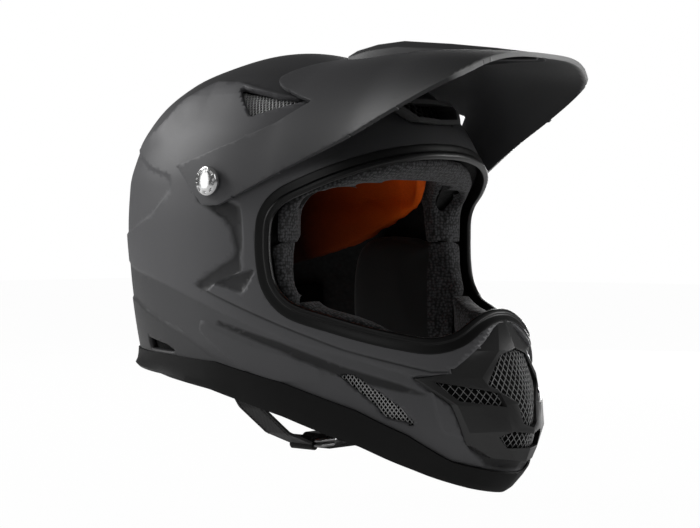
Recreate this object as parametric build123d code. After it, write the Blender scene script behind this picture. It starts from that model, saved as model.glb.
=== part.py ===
"""Full face helmet for downhill riding: shell, visor, vents, foam liner, pads and chin strap.

Millimetres. The origin is the middle of the wearer's head at hat band level, with the helmet as it
is worn: +Z up, the face towards -Y and the wearer's left towards +X.
"""

from build123d import *
import math
import os
from functools import cache, partial

# Overall form, measured from the origin
CROWN_HEIGHT = 131.0
CHIN_DROP = 175.0
FRONT_REACH = 191.0
REAR_REACH = 137.0
HALF_WIDTH = 119.5
SHELL_WALL = 4.0
FIT_GAP = 0.4
OVERRUN = 30.0

# Hollow in the foam for the padded head
HOLLOW_HEIGHT = 104.0
HOLLOW_DROP = 200.0
HOLLOW_FRONT = 160.0
HOLLOW_REAR = 108.0
HOLLOW_HALF_WIDTH = 102.0

# Relief on the shell
RIDGE_RISE = 2.6
ARROW_DEPTH = 1.4
TRIANGLE_DEPTH = 2.8
LOWER_BODY_DEPTH = 1.2

# Edges and vents
TRIM_WIDTH = 10.0
TRIM_DEPTH = 8.0
TRIM_PROUD = 0.6
BAND_DEPTH = 6.0
BAND_PROUD = 1.0
LIP_REACH = 5.0
COVER_OVERHANG = 3.0
MESH_THICKNESS = 1.2
MESH_MARGIN = 3.0
MESH_PITCH = 6.5
MESH_HOLE = 5.0
SCOOP_RISE = 6.0
SCOOP_RIM = 3.5

# Visor and its screws
VISOR_WALL = 3.0
FIN_WALL = 2.5
SCREW_HEAD_RADIUS = 10.0
SCREW_HEAD_HEIGHT = 5.0
SCREW_SLOT_WIDTH = 2.4
SCREW_SLOT_DEPTH = 1.8
SCREW_SHANK_RADIUS = 3.0
SCREW_LENGTH = 18.0
RUNNING_CLEARANCE = 0.06
WASHER_RADIUS = 9.0
WASHER_THICKNESS = 1.2
SEAT_RADIUS = 11.5
SEAT_MARGIN = 1.0
ARM_SEAT_THICKNESS = 3.4
INSERT_FLANGE_RADIUS = 7.5
INSERT_FLANGE_THICKNESS = 1.5
INSERT_BARREL_RADIUS = 4.5
INSERT_LENGTH = 9.0

# Pads
CROWN_PAD_THICKNESS = 7.0
CHANNEL_WIDTH = 3.0
CHANNEL_DEPTH = 3.0
BROW_PAD_THICKNESS = 9.0
BROW_PAD_REACH = 24.0
CHEEK_PAD_THICKNESS = 38.0
BACKPLATE_THICKNESS = 1.6
STUD_RADIUS = 3.0
STUD_LENGTH = 5.0
SOCKET_WALL = 2.0
FINGER_THICKNESS = 13.0
NECK_ROLL_THICKNESS = 11.0
SOFT_GAP = 0.4
PAD_SEAM = 2.0

# Chin strap
STRAP_WIDTH = 22.0
STRAP_THICKNESS = 1.8
STRAP_PLACE = -20.0
STRAP_OFFSET = 99.0
STRAP_TOP = -48.0
RIVET_REACH = 115.0
STRAP_BEND = 12.0
ANCHOR_LENGTH = 26.0
ANCHOR_THICKNESS = 1.5
RIVET_RADIUS = 2.5
RIVET_HEAD_RADIUS = 5.0
RIVET_HEAD_HEIGHT = 1.5
RING_WIRE = 2.8
RING_SPAN = 18.0
RING_WIDTH = 28.8
RING_LEVEL = -140.0
RING_PLACE = -22.0

# One row per level of the outer form: level, front, rear, width and widest place as shares of the
# overall sizes, then the squareness of the front half and of the rear half of that section
BODY_SHARES = (
    (-1.000, 0.921, 0.803, 0.803, -0.219, 1.52, 2.1),
    (-0.857, 0.974, 0.832, 0.854, -0.182, 1.52, 2.1),
    (-0.714, 1.000, 0.869, 0.904, -0.146, 1.55, 2.1),
    (-0.571, 0.995, 0.891, 0.937, -0.088, 1.58, 2.1),
    (-0.429, 0.948, 0.920, 0.971, -0.022, 1.66, 2.1),
    (-0.286, 0.874, 0.949, 0.987, 0.022, 1.80, 2.1),
    (-0.114, 0.785, 0.978, 0.996, 0.058, 1.98, 2.1),
    (0.076, 0.733, 1.000, 1.000, 0.073, 2.08, 2.1),
    (0.290, 0.686, 1.000, 0.979, 0.073, 2.08, 2.1),
    (0.504, 0.618, 0.934, 0.912, 0.073, 2.10, 2.1),
    (0.687, 0.524, 0.818, 0.795, 0.073, 2.15, 2.1),
    (0.840, 0.393, 0.628, 0.611, 0.073, 2.15, 2.1),
    (0.947, 0.230, 0.394, 0.360, 0.058, 2.10, 2.1),
)
BODY_CROWN_SHARE = 0.036
# The same for the hollow, as shares of the hollow's sizes
HOLLOW_SHARES = (
    (-1.000, 1.000, 1.000, 0.990, -0.100, 1.70, 2.1),
    (-0.850, 1.003, 1.000, 0.994, -0.103, 1.70, 2.1),
    (-0.725, 1.005, 1.000, 0.998, -0.104, 1.70, 2.1),
    (-0.600, 1.000, 1.000, 1.000, -0.100, 1.70, 2.1),
    (-0.485, 0.987, 1.001, 1.004, -0.086, 1.71, 2.1),
    (-0.375, 0.965, 1.001, 1.005, -0.065, 1.73, 2.1),
    (-0.275, 0.928, 0.999, 0.997, -0.044, 1.76, 2.1),
    (-0.185, 0.867, 0.995, 0.978, -0.019, 1.83, 2.1),
    (-0.100, 0.800, 0.990, 0.945, 0.000, 1.90, 2.1),
    (-0.015, 0.728, 0.987, 0.879, 0.002, 1.96, 2.1),
    (0.135, 0.670, 0.976, 0.822, 0.000, 2.01, 2.1),
    (0.308, 0.647, 0.955, 0.809, 0.000, 2.04, 2.1),
    (0.481, 0.600, 0.901, 0.758, 0.000, 2.07, 2.1),
    (0.635, 0.533, 0.823, 0.676, 0.000, 2.10, 2.1),
    (0.769, 0.449, 0.705, 0.571, 0.000, 2.11, 2.1),
    (0.960, 0.205, 0.333, 0.260, 0.000, 2.05, 2.1),
)
HOLLOW_CROWN_SHARE = 0.0
SECTION_POINTS = 24

# Side view outlines, as shares of the reaches and heights: front and below are negative
PORT_SHARES = (
    (-0.628, 0.481), (-0.518, 0.397), (-0.403, 0.305), (-0.319, 0.229), (-0.277, 0.137),
    (-0.267, 0.000), (-0.272, -0.103), (-0.293, -0.189), (-0.356, -0.269), (-0.508, -0.331),
    (-0.691, -0.389), (-0.796, -0.406), (-0.853, -0.377), (-0.880, -0.297),
)
RIM_SHARES = (
    (1.300, -0.489), (0.650, -0.499), (0.270, -0.514), (-0.058, -0.562), (-0.340, -0.655),
    (-0.581, -0.752), (-0.717, -0.822), (-0.838, -0.880), (-0.932, -0.920), (-1.200, -0.914),
)
BAND_SHARES = (
    (1.300, -0.434), (0.650, -0.440), (0.234, -0.450), (-0.094, -0.475), (-0.346, -0.546),
    (-0.581, -0.640), (-0.723, -0.726), (-0.822, -0.817), (-0.937, -0.874), (-1.200, -0.874),
)
LIP_SHARES = ((1.300, -0.434), (1.300, -0.540), (-0.209, -0.640), (-0.209, -0.571))
RIDGE_SHARES = (
    (0.438, 0.702), (0.431, 0.817), (0.234, 0.885), (-0.016, 0.863), (-0.183, 0.809),
    (-0.309, 0.733), (-0.068, 0.771), (0.007, 0.748), (0.095, 0.649), (0.285, 0.565),
    (0.467, 0.504),
)
ARROW_SHARES = (
    (-0.016, 0.214), (-0.031, 0.176), (-0.099, 0.122), (-0.173, 0.046), (-0.194, -0.046),
    (-0.178, -0.080), (-0.016, -0.154), (-0.026, -0.183), (-0.120, -0.205), (-0.251, -0.251),
    (-0.400, -0.300), (-0.300, -0.100), (-0.260, 0.140), (-0.180, 0.229),
)
TRIANGLE_SHARES = ((-0.110, -0.160), (-0.262, -0.114), (-0.225, -0.189))
LOWER_BODY_SHARES = (
    (1.300, -0.240), (0.533, -0.200), (0.197, -0.257), (-0.037, -0.314), (-0.283, -0.406),
    (-0.487, -0.486), (-0.644, -0.526), (-0.759, -0.571), (-0.820, -0.700), (-1.200, -0.900),
    (-1.200, -1.200), (1.300, -1.200),
)
CHEEK_VENT_SHARES = (
    (-0.529, -0.497), (-0.565, -0.491), (-0.623, -0.531), (-0.712, -0.611), (-0.754, -0.674),
    (-0.670, -0.651), (-0.634, -0.600),
)
CROWN_VENT_SHARES = ((-0.052, 0.779), (-0.162, 0.626), (-0.330, 0.710))
REAR_VENT_SHARES = ((0.410, -0.330), (0.160, -0.350), (0.080, -0.385), (0.360, -0.385))
LINER_SPLIT_SHARES = ((-0.380, 0.100), (-0.340, -1.200), (-1.300, -1.200), (-1.300, 0.100))
VISOR_SHARES = (
    (0.102, 0.382), (-0.026, 0.427), (-0.162, 0.496), (-0.298, 0.588), (-0.393, 0.664),
    (-0.330, 0.725), (-0.194, 0.840), (-0.225, 0.878), (-0.267, 0.940), (-0.283, 1.150),
    (-1.361, 1.150), (-1.361, 0.832), (-1.021, 0.832), (-0.576, 0.496), (-0.209, 0.229),
    (-0.131, 0.176), (-0.063, 0.176), (-0.005, 0.260),
)
CHEEK_PAD_SHARES = (
    (-0.350, -0.017), (-0.105, 0.000), (0.102, -0.034), (0.161, -0.229), (0.102, -0.470),
    (-0.105, -0.500), (-0.262, -0.480), (-0.325, -0.364), (-0.338, -0.280), (-0.370, -0.170),
)
FINGER_SHARES = (
    (-0.352, -0.354), (-0.366, -0.215), (-0.471, -0.225), (-0.586, -0.262), (-0.670, -0.310),
    (-0.690, -0.370), (-0.660, -0.420), (-0.630, -0.434), (-0.471, -0.456), (-0.372, -0.446),
)
CROWN_PAD_SHARES = ((1.300, 0.160), (0.200, 0.160), (-0.420, 0.500), (-0.500, 0.990), (1.300, 0.990))
NECK_ROLL_SHARES = ((0.420, -0.170), (1.300, -0.170), (1.300, -0.440), (0.420, -0.420))

# Front view outlines: places across as shares of the half width, levels as shares of the heights
COVER_SHARES = (
    (0.000, -0.290), (0.109, -0.326), (0.259, -0.406), (0.385, -0.486), (0.519, -0.503),
    (0.393, -0.600), (0.343, -0.709), (0.318, -0.749), (0.200, -0.800), (0.000, -0.820),
)
BEAK_SHARES = (
    (0.000, -0.400), (0.117, -0.423), (0.226, -0.526), (0.084, -0.594), (0.059, -0.674),
    (0.000, -0.690),
)
SIDE_VENT_SHARES = ((-0.450, -0.514), (-0.170, -0.560), (-0.150, -0.610), (-0.370, -0.585))
LOWER_VENT_SHARES = (
    (0.000, -0.712), (0.120, -0.700), (0.190, -0.720), (0.140, -0.762), (0.000, -0.766),
)
SCOOP_SHARES = ((0.000, 0.730), (0.240, 0.725), (0.285, 0.680), (0.190, 0.600), (0.000, 0.590))

# Faceted sections of the mouth cover: level, then across and forward shares of its corners
COVER_FACET_SHARES = (
    (-0.270, 0.060, 0.850, 0.030, 0.868, 0.874),
    (-0.406, 0.300, 0.862, 0.120, 0.916, 0.930),
    (-0.503, 0.560, 0.730, 0.250, 0.905, 0.970),
    (-0.600, 0.440, 0.850, 0.180, 0.955, 0.998),
    (-0.700, 0.380, 0.885, 0.130, 0.975, 1.008),
    (-0.770, 0.330, 0.880, 0.120, 0.965, 0.990),
    (-0.840, 0.260, 0.880, 0.050, 0.960, 0.965),
)
COVER_BACK_SHARE = 0.500

# Visor arches: place, height and half width as shares, then squareness
VISOR_ARCH_SHARES = (
    (-1.120, 0.900, 0.800, 3.20),
    (-0.916, 0.935, 0.828, 2.85),
    (-0.759, 0.958, 0.845, 2.55),
    (-0.576, 0.969, 0.870, 2.25),
    (-0.314, 0.952, 0.962, 2.36),
    (-0.089, 0.992, 1.023, 2.58),
    (0.150, 1.020, 1.042, 2.60),
)
VISOR_NOSE_SHARE = 1.068
VISOR_CORNER_SHARE = 0.540
VISOR_CORNER_BACK_SHARE = 1.000
FIN_SHARES = ((-0.270, 1.000, 0.180), (-0.461, 1.030, 0.155), (-1.037, 0.914, 0.030))
FIN_FOOT_SHARE = 0.880
SCREW_SHARES = (-0.089, 0.298)
SEAT_SHARE = 0.970
CHANNEL_SHARES = (-0.280, 0.000, 0.280)
BROW_BAND_SHARES = (
    (-0.351, 0.018), (-0.351, 0.122), (-0.390, 0.200), (-0.460, 0.268), (-0.628, 0.370),
    (-0.628, 0.504), (-0.445, 0.473), (-0.272, 0.374), (-0.157, 0.290), (-0.136, 0.018),
)
CHEEK_CROWN_SHARES = ((0.610, 0.800), (0.650, 0.940), (0.780, 1.000), (0.990, 0.980))
CHEEK_GROOVE_SHARE = 0.680
BACKPLATE_SHARE = 0.920
LIP_SPLIT_SHARE = 0.380
FINGER_REACH_SHARE = 0.690
STRAP_BEND_LEVEL_SHARE = -0.520
STRAP_SHARES = ((0.700, -0.640), (0.480, -0.750))
TAIL_SHARES = (0.400, -0.745)
STUD_SHARES = ((-0.235, -0.130), (0.040, -0.140), (0.040, -0.380))
FIN_SCOOP_SHARES = ((-0.200, 1.000, 0.180), (-0.461, 1.030, 0.155), (-0.700, 0.960, 0.080))
ARCH_STEPS = 14
MESH_EDGE_SHARE = 0.9


def place(shares):
    """A side view point from its shares of the reaches and heights."""
    forward, level = shares
    return (
        forward * (REAR_REACH if forward > 0 else FRONT_REACH),
        level * (CROWN_HEIGHT if level > 0 else CHIN_DROP),
    )


def front_place(shares):
    """A front view point from its shares of the half width and heights."""
    across, level = shares
    return (across * HALF_WIDTH, level * (CROWN_HEIGHT if level > 0 else CHIN_DROP))


def section_point(row, sizes, turn, inset):
    """A point of one level section, turned from the rear, drawn in by inset."""
    level, front, rear, width, widest, front_power, rear_power = row
    height, drop, front_reach, rear_reach, half_width = sizes
    middle = widest * rear_reach
    faces_rear = math.cos(turn) >= 0
    power = rear_power if faces_rear else front_power
    reach = (rear * rear_reach - middle) if faces_rear else (front * front_reach + middle)
    along = abs(math.cos(turn)) ** (2 / power) * (reach - inset)
    across = abs(math.sin(turn)) ** (2 / power) * (width * half_width - inset)
    return Vector(
        math.copysign(across, math.sin(turn)),
        middle + math.copysign(along, math.cos(turn)),
        level * (height - inset) if level > 0 else level * drop,
    )


def lofted_form(rows, crown_share, sizes, inset):
    """A closed form through level sections up to a point at the crown."""
    turns = [2 * math.pi * i / SECTION_POINTS for i in range(SECTION_POINTS)]
    steps = [i / SECTION_POINTS for i in range(SECTION_POINTS + 1)]
    sections = []
    for row in rows:
        points = [section_point(row, sizes, turn, inset) for turn in turns]
        sections.append(make_face(Edge.make_spline(points, periodic=True, parameters=steps)))
    height, rear_reach = sizes[0], sizes[3]
    return loft(sections + [Vertex(0, crown_share * rear_reach, height - inset)])


@cache
def body(inset):
    """The helmet's outer form, drawn in by inset all round."""
    sizes = (CROWN_HEIGHT, CHIN_DROP, FRONT_REACH, REAR_REACH, HALF_WIDTH)
    return lofted_form(BODY_SHARES, BODY_CROWN_SHARE, sizes, inset)


@cache
def hollow(inset):
    """The hollow for the padded head and face, drawn in by inset all round."""
    sizes = (HOLLOW_HEIGHT, HOLLOW_DROP, HOLLOW_FRONT, HOLLOW_REAR, HOLLOW_HALF_WIDTH)
    return lofted_form(HOLLOW_SHARES, HOLLOW_CROWN_SHARE, sizes, inset)


def across(face, x_from, x_to):
    """A side view face carried across the helmet."""
    return extrude(Plane.YZ.offset(x_from) * face, amount=x_to - x_from, dir=(1, 0, 0))


def side_block(shares, x_from=-HALF_WIDTH - OVERRUN, x_to=HALF_WIDTH + OVERRUN):
    """A side view polygon carried across the helmet."""
    return across(make_face(Polyline(*[place(s) for s in shares], close=True)), x_from, x_to)


def forward_block(face, y_front, y_back):
    """A front view face carried backwards from y_front to y_back."""
    return extrude(Plane.XZ.offset(-y_back) * face, amount=y_back - y_front, dir=(0, -1, 0))


def mirrored_face(half_shares):
    """A front view face from the outline of its left half."""
    half = [front_place(s) for s in half_shares]
    other = [(-x, z) for x, z in reversed(half[1:-1])]
    return make_face(Polyline(*half, *other, close=True))


def port_edge(inset):
    """Points along the eye port's edge, drawn into the port by inset."""
    points = [place(s) for s in PORT_SHARES]
    edge = []
    for i, (y, z) in enumerate(points):
        before, after = points[max(i - 1, 0)], points[min(i + 1, len(points) - 1)]
        dy, dz = after[0] - before[0], after[1] - before[1]
        size = math.hypot(dy, dz)
        edge.append((y + inset * dz / size, z - inset * dy / size))
    return edge


@cache
def port_block(inset):
    """The eye port carried across the helmet, its edge drawn in by inset."""
    edge = port_edge(inset)
    ahead = -FRONT_REACH - 2 * OVERRUN
    frame = Spline(*edge) + Polyline(edge[-1], (ahead, edge[-1][1]), (ahead, edge[0][1]), edge[0])
    return across(make_face(frame), -HALF_WIDTH - OVERRUN, HALF_WIDTH + OVERRUN)


@cache
def below(shares, lift=0.0):
    """Everything below a line of the side view."""
    line = [place(s) for s in shares]
    floor = -CHIN_DROP - 2 * OVERRUN
    face = make_face(Polyline(*line, (line[-1][0], floor), (line[0][0], floor), close=True))
    return across(Pos(0, lift) * face, -HALF_WIDTH - OVERRUN, HALF_WIDTH + OVERRUN)


def rod(radius, y, z, x_from, x_to):
    """A round rod across the helmet."""
    return across(Pos(y, z) * Circle(radius), x_from, x_to)


def right_and_left(piece):
    """The wearer's right hand piece and its mirror image."""
    return piece, mirror(piece, about=Plane.YZ)


def cover_face():
    """The front view outline of the mouth cover."""
    return mirrored_face(COVER_SHARES)


def screw_point():
    return place(SCREW_SHARES)


def outer_shell():
    """The moulded shell with its ridges, panels, vents and screw seats."""
    y, z = screw_point()
    seat = SEAT_SHARE * HALF_WIDTH
    blind = RIVET_REACH + FIT_GAP / 4
    shell = body(0) - body(SHELL_WALL)
    shell -= [below(BAND_SHARES), port_block(0), vent_block(cover_face(), 0), scoop_block(0)]
    shell -= side_block(ARROW_SHARES) - body(ARROW_DEPTH)
    shell -= side_block(TRIANGLE_SHARES) - body(TRIANGLE_DEPTH)
    shell -= side_block(LOWER_BODY_SHARES) - body(LOWER_BODY_DEPTH)
    shell += (body(-RIDGE_RISE) - body(FIT_GAP)) & side_block(RIDGE_SHARES)
    cuts = []
    for side in (-1, 1):
        near, far = side * HALF_WIDTH / 3, side * (HALF_WIDTH + OVERRUN)
        shell += rod(SEAT_RADIUS, y, z, side * (seat - SHELL_WALL), side * seat)
        cuts.append(rod(SEAT_RADIUS, y, z, side * seat, far))
        cuts.append(rod(RIVET_RADIUS + FIT_GAP / 4, STRAP_PLACE, rivet_level(), near, side * blind))
        cuts.append(side_block(CHEEK_VENT_SHARES, near, far))
        cuts.append(side_block(CROWN_VENT_SHARES, near, far))
        cuts.append(side_block(REAR_VENT_SHARES, near, far))
        cuts.append(rod(SCREW_SHANK_RADIUS + FIT_GAP, y, z, near, far))
    return shell - cuts


def scoop_block(inset):
    """The brow vent's front view outline carried backwards through the brow."""
    face = mirrored_face(SCOOP_SHARES)
    if inset:
        face = offset(face, amount=-inset)
    return forward_block(face, -FRONT_REACH, -HALF_WIDTH / 2)


def eye_port_trim():
    """The edging that lines the eye port."""
    ring = port_block(FIT_GAP) - port_block(TRIM_WIDTH)
    return (body(-TRIM_PROUD) & ring) - body(TRIM_DEPTH)


def lower_edge_trim():
    """The band along the lower rim, with a lip that flares out round the neck."""
    ring = (body(-BAND_PROUD) & below(BAND_SHARES, -FIT_GAP)) + (body(-LIP_REACH) & side_block(LIP_SHARES))
    return ring - body(BAND_DEPTH) - below(RIM_SHARES)


def facet_section(row):
    """One level polygon of the faceted mouth cover."""
    level, wide, wide_reach, middle, middle_reach, reach = row
    corners = [
        (wide * HALF_WIDTH, -COVER_BACK_SHARE * FRONT_REACH),
        (wide * HALF_WIDTH, -wide_reach * FRONT_REACH),
        (middle * HALF_WIDTH, -middle_reach * FRONT_REACH),
        (0, -reach * FRONT_REACH),
    ]
    other = [(-x, y) for x, y in reversed(corners[:-1])]
    return Pos(0, 0, level * CHIN_DROP) * make_face(Polyline(*corners, *other, close=True))


def vent_block(face, margin):
    """A mouth vent's outline, widened by margin and carried backwards."""
    if margin:
        face = offset(face, amount=margin)
    return forward_block(face, -FRONT_REACH - OVERRUN, -COVER_BACK_SHARE * FRONT_REACH)


def mirrored(half_points):
    """A closed outline from the points of its left half."""
    return list(half_points) + [(-x, z) for x, z in reversed(half_points[1:-1])]


def mouth_outlines():
    """The front view outlines of the mouth cover's vents, by name."""
    side = [front_place(s) for s in SIDE_VENT_SHARES]
    return {
        "upper": mirrored([front_place(s) for s in BEAK_SHARES]),
        "side_right": side,
        "side_left": [(-x, z) for x, z in side],
        "lower": mirrored([front_place(s) for s in LOWER_VENT_SHARES]),
    }


def polygon(points):
    return make_face(Polyline(*points, close=True))


def mouth_vent_cover():
    """The faceted cover over the mouth vents."""
    facets = loft([facet_section(row) for row in COVER_FACET_SHARES], ruled=True)
    outline = vent_block(offset(cover_face(), amount=-FIT_GAP), 0)
    cover = (facets & outline) - [body(SHELL_WALL), port_block(0)]
    return cover - [vent_block(polygon(points), 0) for points in mouth_outlines().values()]


def edge_distance(point, start, end):
    """The distance from a point to one straight edge."""
    (x, y), (ax, ay), (bx, by) = point, start, end
    dx, dy = bx - ax, by - ay
    along = ((x - ax) * dx + (y - ay) * dy) / (dx * dx + dy * dy)
    along = min(1, max(0, along))
    return math.hypot(x - ax - along * dx, y - ay - along * dy)


def lies_inside(point, outline, margin):
    """Whether a point lies inside a closed outline, at least margin from its edge."""
    x, y = point
    inside = False
    for start, end in zip(outline, outline[1:] + outline[:1]):
        if edge_distance(point, start, end) < margin:
            return False
        if (start[1] > y) != (end[1] > y):
            crossing = start[0] + (y - start[1]) / (end[1] - start[1]) * (end[0] - start[0])
            inside ^= x < crossing
    return inside


def lattice(outline, margin):
    """A face a little wider than an outline, pierced with diamonds that lie inside the outline."""
    xs, ys = [x for x, y in outline], [y for x, y in outline]
    half = MESH_HOLE / 2
    diamond = polygon([(-half, 0), (0, -half), (half, 0), (0, half)])
    rows = range(math.floor(2 * min(ys) / MESH_PITCH), math.ceil(2 * max(ys) / MESH_PITCH) + 1)
    columns = range(math.floor(min(xs) / MESH_PITCH) - 1, math.ceil(max(xs) / MESH_PITCH) + 1)
    centres = [((i + (j % 2) / 2) * MESH_PITCH, j * MESH_PITCH / 2) for j in rows for i in columns]
    holes = [Pos(*c) * diamond for c in centres if lies_inside(c, outline, half * MESH_EDGE_SHARE)]
    return offset(polygon(outline), amount=margin) - holes


@cache
def guard_sheet():
    """The thin sheet just under the shell that the guards are cut from."""
    front = SHELL_WALL + FIT_GAP
    return body(front) - body(front + MESH_THICKNESS)


def mouth_mesh(name):
    """A lattice guard behind one of the mouth cover's vents."""
    outlines = mouth_outlines()
    mesh = guard_sheet() & vent_block(lattice(outlines[name], MESH_MARGIN - FIT_GAP), 0)
    if name == "upper":
        return mesh
    return mesh - vent_block(polygon(outlines["upper"]), MESH_MARGIN)


def side_vent(shares, margin, x_from, x_to):
    """A side vent's outline, widened by margin and carried from x_from to x_to."""
    face = polygon([place(s) for s in shares])
    return across(offset(face, amount=margin) if margin else face, x_from, x_to)


def side_mesh(shares):
    """A lattice guard behind a vent on the wearer's left."""
    outline = [place(s) for s in shares]
    return guard_sheet() & (across(lattice(outline, MESH_MARGIN - FIT_GAP), HALF_WIDTH / 4, HALF_WIDTH + OVERRUN))


def brow_mesh():
    """A lattice guard behind the brow scoop."""
    outline = mirrored([front_place(s) for s in SCOOP_SHARES])
    return guard_sheet() & (forward_block(lattice(outline, -FIT_GAP), -FRONT_REACH, -HALF_WIDTH / 2))


def brow_vent_scoop():
    """The hooded frame set in the brow vent."""
    rim = scoop_block(FIT_GAP) - scoop_block(SCOOP_RIM)
    return (body(-SCOOP_RISE) & rim) - body(SHELL_WALL)


def visor_arch(row, wall):
    """One upright section of the visor, drawn in by wall."""
    forward, height, width, power = row
    tall = height * CROWN_HEIGHT - wall
    wide = width * HALF_WIDTH - wall
    points = []
    for step in range(ARCH_STEPS + 1):
        turn = math.pi * step / ARCH_STEPS
        x = math.copysign(abs(math.cos(turn)) ** (2 / power) * wide, math.cos(turn))
        points.append((x, abs(math.sin(turn)) ** (2 / power) * tall))
    arch = make_face(Spline(*points) + Line(points[-1], points[0]))
    y = forward * (REAR_REACH if forward > 0 else FRONT_REACH)
    return Plane.XZ.offset(-y) * arch


def fin_section(row, wall):
    """One upright section of the fin along the middle of the visor."""
    forward, top, width = row
    half, peak, foot = width * HALF_WIDTH - wall, top * CROWN_HEIGHT - wall, FIN_FOOT_SHARE * CROWN_HEIGHT
    shoulder = peak - half / 6
    face = make_face(
        Polyline((-half, foot), (-half, shoulder), (-half / 2, peak), (half / 2, peak), (half, shoulder),
                 (half, foot), close=True)
    )
    return Plane.XZ.offset(-forward * FRONT_REACH) * face


def arm_face():
    """How far out the visor arm's inner face lies, past the washer on the shell's seat."""
    return SEAT_SHARE * HALF_WIDTH + WASHER_THICKNESS + FIT_GAP / 2


def visor_peak():
    """The visor: a lofted peak with side arms, a fin and seats for its screws."""
    y, z = screw_point()
    inner_face = arm_face()
    outer_face = inner_face + ARM_SEAT_THICKNESS
    outer = loft([visor_arch(row, 0) for row in VISOR_ARCH_SHARES])
    inner = loft([visor_arch(row, VISOR_WALL) for row in VISOR_ARCH_SHARES])
    peak = outer + loft([fin_section(row, 0) for row in FIN_SHARES], ruled=True)
    peak = (peak & side_block(VISOR_SHARES) & visor_plan()) - inner
    peak -= loft([fin_section(row, FIN_WALL) for row in FIN_SCOOP_SHARES], ruled=True)
    for side in (-1, 1):
        peak += rod(SEAT_RADIUS, y, z, side * inner_face, side * outer_face)
    cuts = []
    for side in (-1, 1):
        cuts.append(rod(SCREW_SHANK_RADIUS + RUNNING_CLEARANCE, y, z, 0, side * (outer_face + OVERRUN)))
        cuts.append(rod(SEAT_RADIUS + SEAT_MARGIN, y, z, 0, side * inner_face))
        cuts.append(rod(SEAT_RADIUS + SEAT_MARGIN, y, z, side * outer_face, side * (outer_face + OVERRUN)))
    return peak - cuts


def visor_plan():
    """The visor's outline seen from above, with a rounded front edge."""
    nose, corner = -VISOR_NOSE_SHARE * FRONT_REACH, -VISOR_CORNER_BACK_SHARE * FRONT_REACH
    wide, half = HALF_WIDTH + OVERRUN, VISOR_CORNER_SHARE * HALF_WIDTH
    front = Spline((-half, corner), (0, nose), (half, corner), tangents=((0.8, -0.6), (0.8, 0.6)))
    rest = Polyline((half, corner), (wide, corner / 2), (wide, REAR_REACH), (-wide, REAR_REACH),
                    (-wide, corner / 2), (-half, corner))
    return extrude(make_face(front + rest), amount=CROWN_HEIGHT + OVERRUN, dir=(0, 0, 1))


def visor_screw():
    """A round headed screw on the wearer's left, through the visor arm, washer and shell."""
    y, z = screw_point()
    face = arm_face() + ARM_SEAT_THICKNESS
    top = face + SCREW_HEAD_HEIGHT
    head = rod(SCREW_HEAD_RADIUS, y, z, face, top)
    head = chamfer(head.edges().group_by(Axis.X)[-1], SCREW_SLOT_DEPTH / 2)
    slot = across(Pos(y, z) * Rectangle(SCREW_SLOT_WIDTH, SCREW_HEAD_RADIUS), top - SCREW_SLOT_DEPTH, top + 1)
    return head - slot + rod(SCREW_SHANK_RADIUS, y, z, face - SCREW_LENGTH, face)


def visor_washer():
    """The washer between the shell's seat and the visor arm."""
    y, z = screw_point()
    seat = SEAT_SHARE * HALF_WIDTH
    ring = Circle(WASHER_RADIUS) - Circle(SCREW_SHANK_RADIUS + RUNNING_CLEARANCE)
    return across(Pos(y, z) * ring, seat, seat + WASHER_THICKNESS)


def visor_insert():
    """The flanged nut behind the shell that takes the visor screw."""
    y, z = screw_point()
    face = SEAT_SHARE * HALF_WIDTH - SHELL_WALL
    flange = rod(INSERT_FLANGE_RADIUS, y, z, face - 2 * INSERT_FLANGE_THICKNESS, face)
    barrel = rod(INSERT_BARREL_RADIUS, y, z, face - INSERT_LENGTH, face)
    nut = (flange + barrel) & body(SHELL_WALL + FIT_GAP / 2)
    return nut - rod(SCREW_SHANK_RADIUS + RUNNING_CLEARANCE, y, z, 0, HALF_WIDTH)


def slab(x_from, x_to, y_from, y_to, z_from, z_to):
    """A plain block between six planes."""
    size = (x_to - x_from, y_to - y_from, z_to - z_from)
    middle = ((x_from + x_to) / 2, (y_from + y_to) / 2, (z_from + z_to) / 2)
    return Pos(*middle) * Box(*size)


def strap_passage(margin):
    """The room that the strap needs beside the pads on the wearer's left."""
    half = STRAP_WIDTH / 2 + margin
    outer = STRAP_OFFSET + STRAP_THICKNESS / 2 + ANCHOR_THICKNESS + margin
    top = STRAP_TOP + margin
    return slab(STRAP_OFFSET - STRAP_THICKNESS / 2 - RIVET_HEAD_HEIGHT - margin, outer,
                STRAP_PLACE - half, STRAP_PLACE + half, -CHIN_DROP, top)


def rivet_level():
    return STRAP_TOP - ANCHOR_LENGTH / 2


def stud_rod(radius, share):
    """A rod across the wearer's left at a snap stud."""
    return rod(radius, *place(share), HALF_WIDTH / 2, HALF_WIDTH)


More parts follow.
